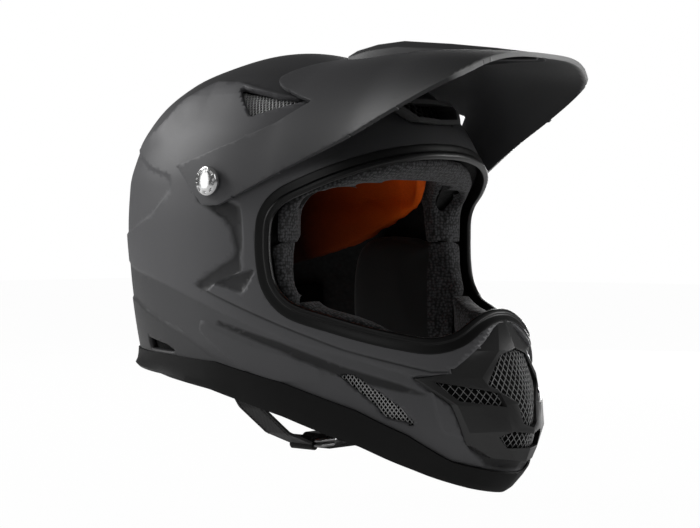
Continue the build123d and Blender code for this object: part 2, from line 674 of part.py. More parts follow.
@cache
def foam():
    """The whole foam liner before it is split."""
    y, z = screw_point()
    block = body(SHELL_WALL + FIT_GAP) - hollow(0)
    cuts = [below(BAND_SHARES), port_block(0)]
    cuts += [vent_block(polygon(points), MESH_MARGIN) for points in mouth_outlines().values()]
    cuts.append(scoop_block(0))
    pocket = hollow(-STUD_LENGTH - FIT_GAP)
    sockets = [stud_rod(STUD_RADIUS + SOCKET_WALL, share) & pocket for share in STUD_SHARES]
    face = SEAT_SHARE * HALF_WIDTH - SHELL_WALL
    near, far = HALF_WIDTH / 4, HALF_WIDTH + OVERRUN
    left = sockets + [
        side_vent(CHEEK_VENT_SHARES, MESH_MARGIN, near, far),
        side_vent(CROWN_VENT_SHARES, MESH_MARGIN, near, far),
        rod(INSERT_FLANGE_RADIUS + FIT_GAP, y, z, face - INSERT_LENGTH - FIT_GAP, far),
        rod(SEAT_RADIUS + FIT_GAP, y, z, face - FIT_GAP, far),
        rod(RIVET_RADIUS + FIT_GAP, STRAP_PLACE, rivet_level(), near, far),
        strap_passage(FIT_GAP),
    ]
    return block - cuts - left - [mirror(cut, about=Plane.YZ) for cut in left]


def eps_crown_liner():
    """The foam over the crown, sides and back of the head."""
    return foam() - side_block(LINER_SPLIT_SHARES)


def eps_chin_liner():
    """The foam inside the chin bar."""
    return foam() & side_block(LINER_SPLIT_SHARES)


def crown_pad():
    """The quilted pad over the crown, with sewn channels from front to back."""
    pad = (hollow(SOFT_GAP) - hollow(CROWN_PAD_THICKNESS)) & side_block(CROWN_PAD_SHARES)
    floor = hollow(CROWN_PAD_THICKNESS - CHANNEL_DEPTH)
    tall = CROWN_HEIGHT + OVERRUN
    for share in CHANNEL_SHARES:
        x = share * HALF_WIDTH
        pad -= slab(x - CHANNEL_WIDTH / 2, x + CHANNEL_WIDTH / 2, -FRONT_REACH, REAR_REACH, 0, tall) & floor
    return pad


@cache
def padded_room(inset):
    """The hollow, drawn in by inset, with the room behind the eye port's edging."""
    return hollow(inset) + (body(TRIM_DEPTH + SOFT_GAP) & port_block(SOFT_GAP))


def edge_pad(shares, thickness):
    """A pad against the foam that also fills in behind the eye port's edging."""
    pad = (padded_room(SOFT_GAP) & side_block(shares)) - hollow(thickness)
    return pad - port_block(TRIM_WIDTH - 1)


def brow_pad():
    """The fabric faced pad round the upper half of the eye port."""
    return edge_pad(BROW_BAND_SHARES, BROW_PAD_THICKNESS)


def pad_section(shares, x, scale):
    """A rounded side view section of a pad at a place across, scaled about its middle."""
    points = [place(s) for s in shares]
    middle_y = sum(y for y, z in points) / len(points)
    middle_z = sum(z for y, z in points) / len(points)
    ring = [
        Vector(x, middle_y + scale * (y - middle_y), middle_z + scale * (z - middle_z)) for y, z in points
    ]
    steps = [i / len(ring) for i in range(len(ring) + 1)]
    return make_face(Edge.make_spline(ring, periodic=True, parameters=steps))


def cheek_pad():
    """The crowned cheek pad on the wearer's left, with a lip along the eye port."""
    sections = [pad_section(CHEEK_PAD_SHARES, x * HOLLOW_HALF_WIDTH, k) for x, k in CHEEK_CROWN_SHARES]
    pad = loft(sections) & padded_room(BACKPLATE_THICKNESS + 2 * SOFT_GAP)
    groove = slab(0, CHEEK_GROOVE_SHARE * HOLLOW_HALF_WIDTH, STRAP_PLACE, STRAP_PLACE + CHANNEL_WIDTH,
                  -CHIN_DROP, CROWN_HEIGHT)
    return pad - port_block(TRIM_WIDTH - 1) - strap_passage(SOFT_GAP) - groove


def cheek_pad_backplate():
    """The plate behind the left cheek pad, with snap studs that press into the foam."""
    outline = [pad_section(CHEEK_PAD_SHARES, x, BACKPLATE_SHARE) for x in (HALF_WIDTH / 2, HALF_WIDTH)]
    plate = (hollow(SOFT_GAP) & loft(outline, ruled=True)) - hollow(SOFT_GAP + BACKPLATE_THICKNESS)
    plate -= port_block(-SOFT_GAP)
    reach = hollow(-STUD_LENGTH) - hollow(2 * SOFT_GAP)
    studs = [stud_rod(STUD_RADIUS, share) & reach for share in STUD_SHARES]
    return plate - strap_passage(SOFT_GAP) + studs


def pad_socket(share):
    """A socket in the foam that holds one of the left cheek pad's studs."""
    sleeve = hollow(-STUD_LENGTH - FIT_GAP / 2) - hollow(-FIT_GAP / 2)
    outer = stud_rod(STUD_RADIUS + SOCKET_WALL - FIT_GAP / 2, share)
    return (outer - stud_rod(STUD_RADIUS + FIT_GAP / 4, share)) & sleeve


def chin_bar_pad():
    """The tapering pad along the left of the chin bar."""
    return edge_pad(FINGER_SHARES, FINGER_THICKNESS) & slab(0, HALF_WIDTH, -FRONT_REACH, 0, -CHIN_DROP, 0)


def neck_roll_pad():
    """The pad round the nape."""
    return (hollow(SOFT_GAP) - hollow(NECK_ROLL_THICKNESS)) & side_block(NECK_ROLL_SHARES)


def strap_anchor():
    """The steel plate that holds the left strap's upper end."""
    half = STRAP_WIDTH / 2
    near = STRAP_OFFSET + STRAP_THICKNESS / 2
    plate = slab(near, near + ANCHOR_THICKNESS, STRAP_PLACE - half, STRAP_PLACE + half,
                 STRAP_TOP - ANCHOR_LENGTH, STRAP_TOP)
    plate = fillet(plate.edges().filter_by(Axis.X), RIVET_HEAD_RADIUS)
    return plate - rod(RIVET_RADIUS + FIT_GAP / 4, STRAP_PLACE, rivet_level(), 0, HALF_WIDTH)


def strap_rivet():
    """The rivet that fastens the left anchor to the shell."""
    face = STRAP_OFFSET - STRAP_THICKNESS / 2
    shank = rod(RIVET_RADIUS, STRAP_PLACE, rivet_level(), face, RIVET_REACH)
    return shank + rod(RIVET_HEAD_RADIUS, STRAP_PLACE, rivet_level(), face - RIVET_HEAD_HEIGHT, face)


def webbing(points, radii):
    """A flat strap along a route in the plane of the rings."""
    path = FilletPolyline(*[(x, STRAP_PLACE, z) for x, z in points], radius=radii)
    start = Plane(origin=path @ 0, x_dir=(0, 1, 0), z_dir=path % 0)
    return sweep(start * Rectangle(STRAP_WIDTH, STRAP_THICKNESS), path=path)


def strap_drop():
    """The left strap's route down from its anchor, shared by both straps."""
    bend = (STRAP_OFFSET, STRAP_BEND_LEVEL_SHARE * CHIN_DROP)
    return [(STRAP_OFFSET, STRAP_TOP), bend] + [(x * HALF_WIDTH, z * CHIN_DROP) for x, z in STRAP_SHARES]


def rivet_hole():
    return rod(RIVET_RADIUS + FIT_GAP / 4, STRAP_PLACE, rivet_level(), 0, HALF_WIDTH)


def chin_strap_right():
    """The right strap, sewn round the straight sides of both rings."""
    ends = [(-x, z) for x, z in strap_drop()] + [(RING_PLACE - RING_SPAN / 2 - RING_WIRE, RING_LEVEL)]
    strap = webbing(ends, STRAP_BEND)
    loop = RING_WIRE / 2 + FIT_GAP / 2
    wide = RING_WIDTH - 3 * RING_WIRE
    middle = Pos(RING_PLACE - RING_SPAN / 2, RING_LEVEL)
    ring_gap = RING_WIRE + FIT_GAP
    sleeve = SlotCenterToCenter(ring_gap, 2 * (loop + STRAP_THICKNESS), rotation=90)
    bore = SlotCenterToCenter(ring_gap, 2 * loop, rotation=90)
    plane = Plane.XZ.offset(-STRAP_PLACE - wide / 2)
    sewn = extrude(plane * middle * sleeve, amount=wide, dir=(0, -1, 0))
    hole = extrude(plane * middle * bore, amount=wide, dir=(0, -1, 0))
    strap = strap - extrude(plane * middle * sleeve, amount=STRAP_WIDTH, both=True) + sewn - hole
    return strap - mirror(rivet_hole(), about=Plane.YZ)


def chin_strap_left():
    """The left strap, threaded through both rings and folded back on itself."""
    under = RING_LEVEL - RING_WIRE - FIT_GAP - STRAP_THICKNESS / 2 - FIT_GAP / 2
    over = 2 * RING_LEVEL - under
    turn = RING_PLACE + RING_SPAN / 2 - 2 * RING_WIRE - STRAP_THICKNESS
    run = RING_PLACE + 2 * RING_SPAN
    tail = [(run, over), (TAIL_SHARES[0] * HALF_WIDTH, TAIL_SHARES[1] * CHIN_DROP)]
    drop = strap_drop()
    points = drop + [(run, under), (turn, under), (turn, over)] + tail
    radii = [STRAP_BEND] * len(drop) + [(over - under) / 2.1] * 2 + [STRAP_BEND]
    strap = webbing(points, radii)
    return strap - rivet_hole()


def d_ring(level):
    """A wire ring across the strap at a level."""
    wide, span = RING_WIDTH - RING_WIRE, RING_SPAN
    path = Plane.XY.offset(level) * Pos(RING_PLACE, STRAP_PLACE) * RectangleRounded(span, wide, RING_WIRE).wire()
    start = Plane(origin=path @ 0, z_dir=path % 0)
    return sweep(start * Circle(RING_WIRE / 2), path=path)


def single_pieces():
    """The makers of the pieces that lie across the middle, by name."""
    step = RING_WIRE / 2 + FIT_GAP / 2
    makers = {
        "outer_shell": outer_shell,
        "eye_port_trim": eye_port_trim,
        "lower_edge_trim": lower_edge_trim,
        "mouth_vent_cover": mouth_vent_cover,
        "brow_vent_scoop": brow_vent_scoop,
        "brow_vent_mesh": brow_mesh,
        "visor_peak": visor_peak,
        "eps_crown_liner": eps_crown_liner,
        "eps_chin_liner": eps_chin_liner,
        "crown_pad": crown_pad,
        "brow_pad": brow_pad,
        "neck_roll_pad": neck_roll_pad,
        "chin_strap_right": chin_strap_right,
        "chin_strap_left": chin_strap_left,
        "d_ring_lower": partial(d_ring, RING_LEVEL - step),
        "d_ring_upper": partial(d_ring, RING_LEVEL + step),
    }
    for name in mouth_outlines():
        makers["mouth_mesh_" + name] = partial(mouth_mesh, name)
    return makers


def paired_pieces():
    """The makers of the left hand pieces that are mirrored, by name."""
    makers = {
        "cheek_vent_mesh": partial(side_mesh, CHEEK_VENT_SHARES),
        "crown_vent_mesh": partial(side_mesh, CROWN_VENT_SHARES),
        "visor_screw": visor_screw,
        "visor_washer": visor_washer,
        "visor_insert": visor_insert,
        "cheek_pad": cheek_pad,
        "cheek_pad_backplate": cheek_pad_backplate,
        "chin_bar_pad": chin_bar_pad,
        "strap_anchor": strap_anchor,
        "strap_rivet": strap_rivet,
    }
    for number, share in enumerate(STUD_SHARES, start=1):
        makers[f"pad_socket_{number}"] = partial(pad_socket, share)
    return makers


def main():
    os.makedirs("parts", exist_ok=True)
    for name, make in single_pieces().items():
        export_step(make(), f"parts/{name}.step")
    for name, make in paired_pieces().items():
        piece = make()
        export_step(piece, f"parts/{name}_left.step")
        export_step(mirror(piece, about=Plane.YZ), f"parts/{name}_right.step")


main()
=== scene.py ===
"""Full face helmet for downhill riding: the visible pieces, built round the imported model."""

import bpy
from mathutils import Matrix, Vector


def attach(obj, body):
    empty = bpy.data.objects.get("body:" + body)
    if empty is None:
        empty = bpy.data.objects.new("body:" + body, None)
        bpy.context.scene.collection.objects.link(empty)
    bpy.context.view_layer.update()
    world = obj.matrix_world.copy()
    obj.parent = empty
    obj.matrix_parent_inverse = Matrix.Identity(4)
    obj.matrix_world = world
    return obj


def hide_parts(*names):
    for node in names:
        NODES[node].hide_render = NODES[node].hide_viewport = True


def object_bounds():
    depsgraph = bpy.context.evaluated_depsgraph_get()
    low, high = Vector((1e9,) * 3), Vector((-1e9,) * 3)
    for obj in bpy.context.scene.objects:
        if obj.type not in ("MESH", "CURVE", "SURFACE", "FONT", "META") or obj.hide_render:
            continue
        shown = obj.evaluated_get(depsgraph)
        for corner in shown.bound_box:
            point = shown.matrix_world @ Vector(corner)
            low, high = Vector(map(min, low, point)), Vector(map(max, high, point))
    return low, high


bl_info = {
    "name": "Full face helmet",
    "version": (1, 0, 0),
    "blender": (4, 5, 0),
    "location": "View3D > Sidebar > Helmet",
    "description": "Builds a matte full face helmet with its visor, vents, pads and strap",
    "category": "Object",
}

import math

import bmesh
import bpy
import numpy as np
from mathutils import Vector
from mathutils.bvhtree import BVHTree

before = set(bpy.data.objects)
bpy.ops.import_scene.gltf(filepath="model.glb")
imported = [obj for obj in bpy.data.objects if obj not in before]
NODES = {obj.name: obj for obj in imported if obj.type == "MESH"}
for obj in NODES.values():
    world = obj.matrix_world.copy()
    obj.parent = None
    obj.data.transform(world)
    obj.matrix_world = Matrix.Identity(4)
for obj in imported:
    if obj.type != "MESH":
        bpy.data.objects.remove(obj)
CAD_BOX = [list(corner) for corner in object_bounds()]
MM = 0.001


def mirrored(half):
    """A front view outline from its half on the wearer's left."""
    return half + [(-x, z) for x, z in half[::-1] if x]


# The shell's level sections, in millimetres: level, reach to the front and to the rear, half width,
# place of the widest point, and how square the front half is
SHELL_LEVELS = np.array([
    (-175, 160, 110, 96, -30, 1.52), (-160, 169, 112.3, 99.7, -27, 1.52),
    (-150, 179, 114, 102.1, -24.9, 1.52), (-138, 188, 116.5, 105, -22.4, 1.52),
    (-125, 191, 119.1, 108, -20, 1.55), (-100, 190, 122.1, 112, -12.1, 1.58),
    (-75, 181.1, 126, 116, -3, 1.66), (-50, 166.9, 130, 117.9, 3, 1.80),
    (-20, 149.9, 134, 119, 7.9, 1.98), (10, 140, 137, 119.5, 10, 2.08),
    (38, 131, 137, 117, 10, 2.08), (66, 118, 128, 109, 10, 2.10), (90, 100.1, 112.1, 95, 10, 2.15),
    (110, 75.1, 86, 73, 10, 2.15), (124, 43.9, 54, 43, 7.9, 2.10),
])
CROWN = (133.0, 5.0)
REAR_POWER = 2.1
SHELL_WALL = 4.0

# Front view outlines, in millimetres: across, then up
CHIN_RECESS = mirrored([
    (12, -149.5), (24, -146), (36, -133), (39.5, -127), (41, -121), (30, -116),
])
COVER = mirrored([
    (0, -50.8), (13, -57.1), (31, -71.1), (46, -85), (62, -88), (47, -105), (41, -124.1),
    (38, -131.1), (23.9, -140), (0, -143.5),
])
SCOOP = mirrored([(28.7, 95), (34.1, 89.1), (22.7, 78.6)])
MOUTH_UPPER = mirrored([
    (0, -70), (14, -74), (27, -92), (10, -103.9), (7.1, -118), (0, -120.7),
])
MOUTH_SIDE = [(-53.8, -90), (-20.3, -98), (-17.9, -106.8), (-44.2, -102.4)]
MOUTH_LOWER = [
    (-14.3, -122.5), (0, -124.6), (14.3, -122.5), (22.7, -126), (16.7, -133.3), (0, -134.1),
    (-16.7, -133.3), (-22.7, -126),
]

# Side view outlines, in millimetres: along, where front is negative, then up
PORT_EDGE = [
    (-119.9, 63), (-98.9, 52), (-77, 40), (-60.9, 30), (-52.9, 17.9), (-51, 0), (-52, -18),
    (-56, -33.1), (-68, -47.1), (-97, -57.9), (-132, -68.1), (-152, -71.1), (-162.9, -66),
    (-168.1, -52),
]
RIM_LINE = [
    (178.1, -85.6), (89, -87.3), (37, -90), (-11.1, -98.4), (-64.9, -114.6), (-111, -132.6),
    (-136.9, -147), (-158, -160), (-170, -166), (-229.2, -166),
]
BAND_LINE = [
    (178.1, -76), (89, -77), (32.1, -78.8), (-18, -83.1), (-66.1, -95.6), (-111, -112),
    (-138.1, -127), (-157, -143), (-179, -152.9), (-229.2, -152.9),
]
CHANNEL = [
    (92, 62), (77, 67), (52, 79), (40, 96), (16, 108), (-7, 106), (-39, 98), (-60, 93), (-90, 92),
    (-90, 150), (92, 150),
]
PANEL_SEAM = [
    (-3.2, -30.6), (-46, -47.5), (-74.2, -58.8), (-105.4, -70.9), (-135, -79.5), (-150, -84),
]
STRIPE = [
    (-20, -53), (-64.7, -66.1), (-105, -81.7), (-135, -91.8), (-150, -99), (-135, -96.9),
    (-104.7, -88.9), (-64.4, -71.8), (-20, -56),
]
LOW_NOTCH = [(-129, -124.5), (-150, -136.5), (-131, -133.5)]
REAR_FOOT = [
    (178, -36), (76.7, -41.3), (13.5, -61.1), (-11.8, -75.2), (-40, -84.5), (-40, -120),
    (178, -120),
]
REAR_PANEL = [(92, 66), (53, 50), (26, 43), (24, 34), (45, 17), (78, 7), (150, 0), (150, 66)]
ARROW = [
    (-3, 30.5), (-5.1, 32.3), (-17.5, 29.7), (-29.8, 25.6), (-37.4, 22.2), (-38.6, 19),
    (-39.7, 12.6), (-40.3, 0), (-39.5, -8), (-38.4, -12.5), (-40, -20.5), (-17.3, -29),
    (-12, -33.2), (-3.2, -30.6), (-2.4, -29), (-4.6, -27.6), (-33, -11.8), (-35.6, -8), (-35.2, -4),
    (-34, 0), (-31.9, 7.9), (-25.8, 14.6), (-15.5, 19.8), (-4.3, 25.9), (-2.9, 28.3),
]
TRIANGLE = [(-17.3, -29), (-49.4, -18.2), (-39.9, -34.6)]
LOWER_BODY = [
    (178, -8), (110, -12), (81, -18.6), (47, -24.7), (26, -30.2), (-10.2, -42.7), (-35.8, -52.3),
    (-64.7, -63.5), (-105.4, -74.3), (-135, -84.2), (-150, -92), (-156.6, -122.5), (-229.2, -157.5),
    (-229.2, -210), (178.1, -210),
]
CHEEK_OVAL = [
    (-6, -53), (-34, -64), (-70, -75), (-92, -83), (-90, -88), (-77, -92), (-54, -93), (-33, -81),
    (-15, -69), (-4, -60),
]
CHEEK_VENT = [
    (-101, -87), (-107.9, -85.9), (-119, -92.9), (-136, -106.9), (-144, -118), (-128, -113.9),
    (-121.1, -105),
]
CROWN_VENT = [(-9.9, 102), (-30.9, 82), (-63, 93)]
REAR_VENT = [(56.5, -66.2), (29.6, -70.6), (18.5, -75.6), (54, -74.6)]
VISOR_OUTLINE = [
    (14, 50), (-5, 55.9), (-30.9, 65), (-56.9, 77), (-75.1, 91), (-62, 95.5), (-47, 101.8),
    (-39.6, 106.6), (-38.4, 110), (-41, 114), (-46, 118.4), (-51.5, 122.6), (-54.1, 150.6),
    (-260, 150.6), (-260, 109), (-195, 109), (-110, 65), (-39.9, 30), (-25, 23.1), (-12, 23.1),
    (-1, 34.1),
]
VISOR_ARCHES = np.array([
    (-213.9, 117.9, 95.6, 3.20), (-175, 122.5, 98.9, 2.85), (-145, 125.5, 101, 2.55),
    (-110, 126.9, 104, 2.25), (-60, 124.7, 115, 2.36), (-17, 130, 122.2, 2.58),
    (20.6, 133.6, 124.5, 2.60),
])
VISOR_WALL = 3.0
VISOR_NOSE = 204.0
VISOR_CORNER = (64.5, 191.0)
# The lining's sheet: rays round and up, their lifts in degrees, their least, usual and most reach,
# how far the sheet stays off the foam, and its thickness
LINING_RAYS, LINING_LIFTS, LINING_REACH = (128, 64), (-32, 86), (60, 92.0, 116)
LINING_GAP, LINING_WALL = 2.0, 6.5
LINING_OUTLINE = [
    (-92, 130), (-92, 62), (-74, 40), (-52, 24), (-14, 10), (23, -3), (81, -22), (150, -40),
    (150, 140),
]
# The thin seam: how far across it a step up leads, how far it reaches to a side, and its depth
SEAM_SLANT, SEAM_REACH, SEAM_DEPTH = 0.93, 1.1, 0.7
CHIN_DEPTH = 1.8
PAINT_EDGE = 1.8
# The crown ridge: its width, and where it starts and is full at the front and at the rear
RIDGE_WIDTH, RIDGE_FRONT, RIDGE_REAR = 11, (-48, -8), (96, 60)
# The shell's and the visor's grids: their step, the points across, and the levels of the first ring
# and of the crown's finer rings, with their count
GRID_STEP, SHELL_TURNS, VISOR_TURNS = 2.6, 300, 160
SHELL_LOW, CAP_LEVEL, CAP_RINGS = -168.0, 98.0, 25
# Points along the port's edging and the rim band, and how far the band's neck lip flares
EDGING_POINTS, BAND_POINTS, NECK_FLARE = 420, 360, 4.2
SCREW_PLACE = (120.72, -16.999, 39.038)
# The pads' inner faces stand at least this far from the middle, by place along the head
CHEEK_FACE = ([-70, -60, -40, -15], [86, 81, 71, 62])
BROW_FACE = ([-70, -60, -48, -36, -20], [84, 79, 74, 66, 60])
FABRIC_SEAM, FABRIC_SEAM_WIDTH = -48.0, 0.8
PAD_SHRINK, PAD_PRESSURE, PAD_STEPS, QUICK_SWELL = 0.8, 4.0, 20, 1.5
# What the pads face, in metres
HEAD_MIDDLE = (0.0, -0.01, 0.0)
# The chin's foam lies within this share of the shell's form, drawn in by so much past it
CHIN_FOAM_SHARE, CHIN_FOAM_PULL = 0.955, 150
# Rows of stitches on each strap, by place along the head, and the levels they run between
STITCH_ROWS = (-29.0, -11.0)
STITCH_LEVELS = (-132.0, -70.0, 1.0)
# The photo's camera, in metres and degrees, and the lamps: place, size and power
CAMERA_TURN, CAMERA_FAR, CAMERA_LENS, CAMERA_SHIFT = -48, 1.3, 93.6, (0.054, -0.034)
LAMP_AIM = (0, -0.02, 0)
LAMPS = (
    ("top_light", (-0.9, 1.7, 1.2), (1.0, 1.0), 27),
    ("side_light", (-1.5, 1.4, 0.1), (0.6, 1.0), 3),
    ("rim_light", (1.35, -1.2, 0.25), (0.3, 1.2), 13),
    ("far_light", (1.7, 0.7, 0.3), (0.3, 1.6), 24),
    ("front_light", (-1.5, -0.8, 0.7), (0.8, 0.8), 2.4),
)


def eased_between(t, run, start, leave, end, arrive):
    """Between two values with a slope at each, at a share of the run."""
    return (
        (2 * t**3 - 3 * t**2 + 1) * start
        + (t**3 - 2 * t**2 + t) * run * leave
        + (3 * t**2 - 2 * t**3) * end
        + (t**3 - t**2) * run * arrive
    )


def graded(at, values):
    """A smooth curve through values that never overshoots them."""
    at, values = np.asarray(at, float), np.asarray(values, float)
    step = np.diff(at)
    slope = np.diff(values) / step
    bend = np.zeros(len(at))
    for i in range(1, len(at) - 1):
        if slope[i - 1] * slope[i] > 0:
            before, after = 2 * step[i] + step[i - 1], step[i] + 2 * step[i - 1]
            bend[i] = (before + after) / (before / slope[i - 1] + after / slope[i])
    bend[0], bend[-1] = slope[0], slope[-1]

    def curve(x):
        x = np.clip(np.asarray(x, float), at[0], at[-1])
        i = np.clip(np.searchsorted(at, x) - 1, 0, len(step) - 1)
        return eased_between(
            (x - at[i]) / step[i], step[i], values[i], bend[i], values[i + 1], bend[i + 1]
        )

    return curve


def form_curves():
    """Curves over the level for the shell's form: reaches and widths squared, for a round crown."""
    z = np.append(SHELL_LEVELS[:, 0], CROWN[0])
    place = np.append(SHELL_LEVELS[:, 4], CROWN[1])
    front = np.append(SHELL_LEVELS[:, 1] + SHELL_LEVELS[:, 4], 0.0)
    rear = np.append(SHELL_LEVELS[:, 2] - SHELL_LEVELS[:, 4], 0.0)
    width = np.append(SHELL_LEVELS[:, 3], 0.0)
    power = np.append(SHELL_LEVELS[:, 5], 2.1)
    return [graded(z, values) for values in (front**2, rear**2, width**2, place, power)]


FRONT, REAR, WIDTH, MIDDLE, POWER = form_curves()


def section(z, faces_front):
    """Reach, half width, place of the widest point and squareness at a level."""
    reach = np.where(faces_front, np.sqrt(FRONT(z)), np.sqrt(REAR(z)))
    return reach, np.sqrt(WIDTH(z)), MIDDLE(z), np.where(faces_front, POWER(z), REAR_POWER)


def shell_point(turn, z):
    """Points of the shell's outer form, turned from the rear, at a level."""
    turn, z = np.broadcast_arrays(np.asarray(turn, float), np.asarray(z, float))
    reach, width, middle, power = section(z, np.cos(turn) < 0)
    x = np.sign(np.sin(turn)) * np.abs(np.sin(turn)) ** (2 / power) * width
    y = middle + np.sign(np.cos(turn)) * np.abs(np.cos(turn)) ** (2 / power) * reach
    return np.stack([x, y, z], -1)


def spread(p):
    """How far out a point lies: 1 on the shell's outer form."""
    x, y, z = p[..., 0], p[..., 1], p[..., 2]
    reach, width, middle, power = section(z, y < MIDDLE(z))
    reach, width = np.maximum(reach, 1e-3), np.maximum(width, 1e-3)
    return (np.abs(x / width) ** power + np.abs((y - middle) / reach) ** power) ** (1 / power)


def ramp(values, zero, one):
    """0 up to one value, rising to 1 at another."""
    return np.clip((values - zero) / (one - zero), 0, 1)


def unit(v):
    return v / np.maximum(np.linalg.norm(v, axis=-1, keepdims=True), 1e-9)


def outward(p):
    """The shell's outward direction at points on it."""
    step = 0.4
    return unit(np.stack([spread(p + d) - spread(p - d) for d in np.eye(3) * step], -1))


def evened(loop, times, axis=0):
    """A loop's values drawn towards their neighbours' middle."""
    for _ in range(times):
        loop = 0.5 * loop + 0.25 * (np.roll(loop, 1, axis) + np.roll(loop, -1, axis))
    return loop


def half_breadth(y, z):
    """How far across the shell reaches at a place of the side view, or nothing outside it."""
    reach, width, middle, power = section(z, y < MIDDLE(z))
    rest = 1 - np.abs((y - middle) / reach) ** power
    return np.where(rest > 0, width * np.maximum(rest, 0) ** (1 / power), 0.0)


def polygon_distance(points, outline):
    """Signed distance from flat points to an outline: negative inside."""
    a = np.asarray(outline, float)
    b = np.roll(a, -1, axis=0)
    nearest = np.full(len(points), 1e9)
    inside = np.zeros(len(points), bool)
    for (ax, ay), (bx, by) in zip(a, b):
        ex, ey = bx - ax, by - ay
        px, py = points[:, 0] - ax, points[:, 1] - ay
        t = np.clip((px * ex + py * ey) / (ex * ex + ey * ey), 0, 1)
        nearest = np.minimum(nearest, np.hypot(px - t * ex, py - t * ey))
        if ay != by:
            crosses = (ay > points[:, 1]) != (by > points[:, 1])
            inside ^= crosses & (px < (points[:, 1] - ay) * ex / ey)
    return np.where(inside, -nearest, nearest)


def round_curve(points, count):
    """Points along a smooth curve through a few points, evenly spaced."""
    p = np.asarray(points, float)
    run = np.append(0, np.cumsum(np.sqrt(np.linalg.norm(np.diff(p, axis=0), axis=1))))
    fine = np.linspace(0, run[-1], 40 * len(p))
    slopes = np.gradient(p, run, axis=0)
    i = np.clip(np.searchsorted(run, fine) - 1, 0, len(p) - 2)
    h = (run[i + 1] - run[i])[:, None]
    t = (fine[:, None] - run[i][:, None]) / h
    return evenly(eased_between(t, h, p[i], slopes[i], p[i + 1], slopes[i + 1]), count)


def evenly(points, count, closed=False):
    """A line's points respaced evenly."""
    p = np.vstack([points, points[:1]]) if closed else np.asarray(points, float)
    run = np.append(0, np.cumsum(np.linalg.norm(np.diff(p, axis=0), axis=1)))
    at = np.linspace(0, run[-1], count, endpoint=not closed)
    return np.stack([np.interp(at, run, p[:, k]) for k in range(p.shape[1])], -1)


PORT_OUTLINE = [tuple(p) for p in round_curve(PORT_EDGE, 120)] + [(-260.0, -52.0), (-260.0, 63.0)]


def side_view(outline):
    return lambda p: polygon_distance(p[:, 1:3], outline)


def seam_line(p):
    """Signed distance from the thin seam that runs from the arrow to the mouth cover."""
    line = np.array(sorted(PANEL_SEAM))
    away = (p[:, 2] - np.interp(p[:, 1], line[:, 0], line[:, 1])) * SEAM_SLANT
    return np.where(p[:, 1] < line[-1, 0], away, 50.0)


def front_view(outline):
    def distance(p):
        d = polygon_distance(p[:, (0, 2)], outline)
        return np.where(p[:, 1] < -50, d, 50.0)

    return distance


def below_line(line):
    """Distance below a line of the side view: negative under it."""
    line = np.array(sorted(line))
    return lambda p: p[:, 2] - np.interp(p[:, 1], line[:, 0], line[:, 1])


def coordinates(bm):
    bm.verts.ensure_lookup_table()
    return np.array([v.co[:] for v in bm.verts])


def imprint(bm, distance, level=0.0):
    """Splits a surface's faces along a contour, so that its edge is clean."""
    co = coordinates(bm)
    bm.verts.index_update()
    d = distance(co) - level
    on_line = set()
    for edge in list(bm.edges):
        a, b = edge.verts
        da, db = d[a.index], d[b.index]
        if da * db >= 0:
            continue
        t = da / (da - db)
        if 0.15 < t < 0.85:
            on_line.add(bmesh.utils.edge_split(edge, a, t)[1])
    nudged = {}
    for edge in bm.edges:
        a, b = edge.verts
        if a in on_line or b in on_line or a.index < 0 or b.index < 0:
            continue
        if a.index >= len(d) or b.index >= len(d):
            continue
        da, db = d[a.index], d[b.index]
        if da * db < 0:
            t = da / (da - db)
            near, far, share = (a, b, t) if t <= 0.5 else (b, a, 1 - t)
            if near not in nudged:
                nudged[near] = near.co.lerp(far.co, share)
    for vert, place in nudged.items():
        vert.co = place
        on_line.add(vert)
    for face in list(bm.faces):
        found = [v for v in face.verts if v in on_line]
        if len(found) == 2:
            a, b = found
            if bm.edges.get((a, b)) is None:
                bmesh.utils.face_split(face, a, b)


def centres(bm):
    return np.array([f.calc_center_median()[:] for f in bm.faces])


def cut_away(bm, distance, keep_outside=True):
    """Cuts a surface along a contour and drops one side."""
    imprint(bm, distance)
    d = distance(centres(bm))
    gone = [f for f, v in zip(bm.faces, d) if (v < 0) == keep_outside]
    bmesh.ops.delete(bm, geom=gone, context="FACES")
    loose = [v for v in bm.verts if not v.link_faces]
    bmesh.ops.delete(bm, geom=loose, context="VERTS")


def lay_grid(bm, points, closed, looped=False):
    """Faces over rows of points, each closed or open across; the last row may meet the first."""
    rows = [[bm.verts.new(p) for p in row] for row in points]
    count = len(rows[0])
    for low, high in zip(rows, rows[1:] + (rows[:1] if looped else [])):
        for i in range(count if closed else count - 1):
            j = (i + 1) % count
            bm.faces.new((low[i], low[j], high[j], high[i]))
    return rows


def grid_surface(points, closed, looped=False):
    bm = bmesh.new()
    lay_grid(bm, points, closed, looped)
    bm.verts.ensure_lookup_table()
    return bm


def soft_step(d, width):
    """1 well inside an outline, 0 outside, easing over a width."""
    t = np.clip(0.5 - d / width, 0, 1)
    return t * t * (3 - 2 * t)


def placed(name, data):
    """A new object of the scene that holds this data."""
    obj = bpy.data.objects.new(name, data)
    bpy.context.scene.collection.objects.link(obj)
    return obj


def points_of(mesh, key="co"):
    """A mesh's points, or their normals, as rows."""
    values = np.empty(len(mesh.vertices) * 3)
    mesh.vertices.foreach_get(key, values)
    return values.reshape(-1, 3)


def move_points(mesh, places):
    mesh.vertices.foreach_set("co", places.ravel())
    mesh.update()


def evaluated(obj):
    return obj.evaluated_get(bpy.context.evaluated_depsgraph_get())


def wall(thickness, offset=-1.0):
    """A modifier that gives a sheet a thickness, in millimetres."""
    return "SOLIDIFY", {"thickness": thickness * MM, "offset": offset}


def bevel(width, segments, angle=None):
    """A modifier that bevels edges sharper than an angle, with a width in millimetres."""
    settings = {"width": width * MM, "segments": segments, "limit_method": "ANGLE"}
    if angle:
        settings["angle_limit"] = math.radians(angle)
    return "BEVEL", settings


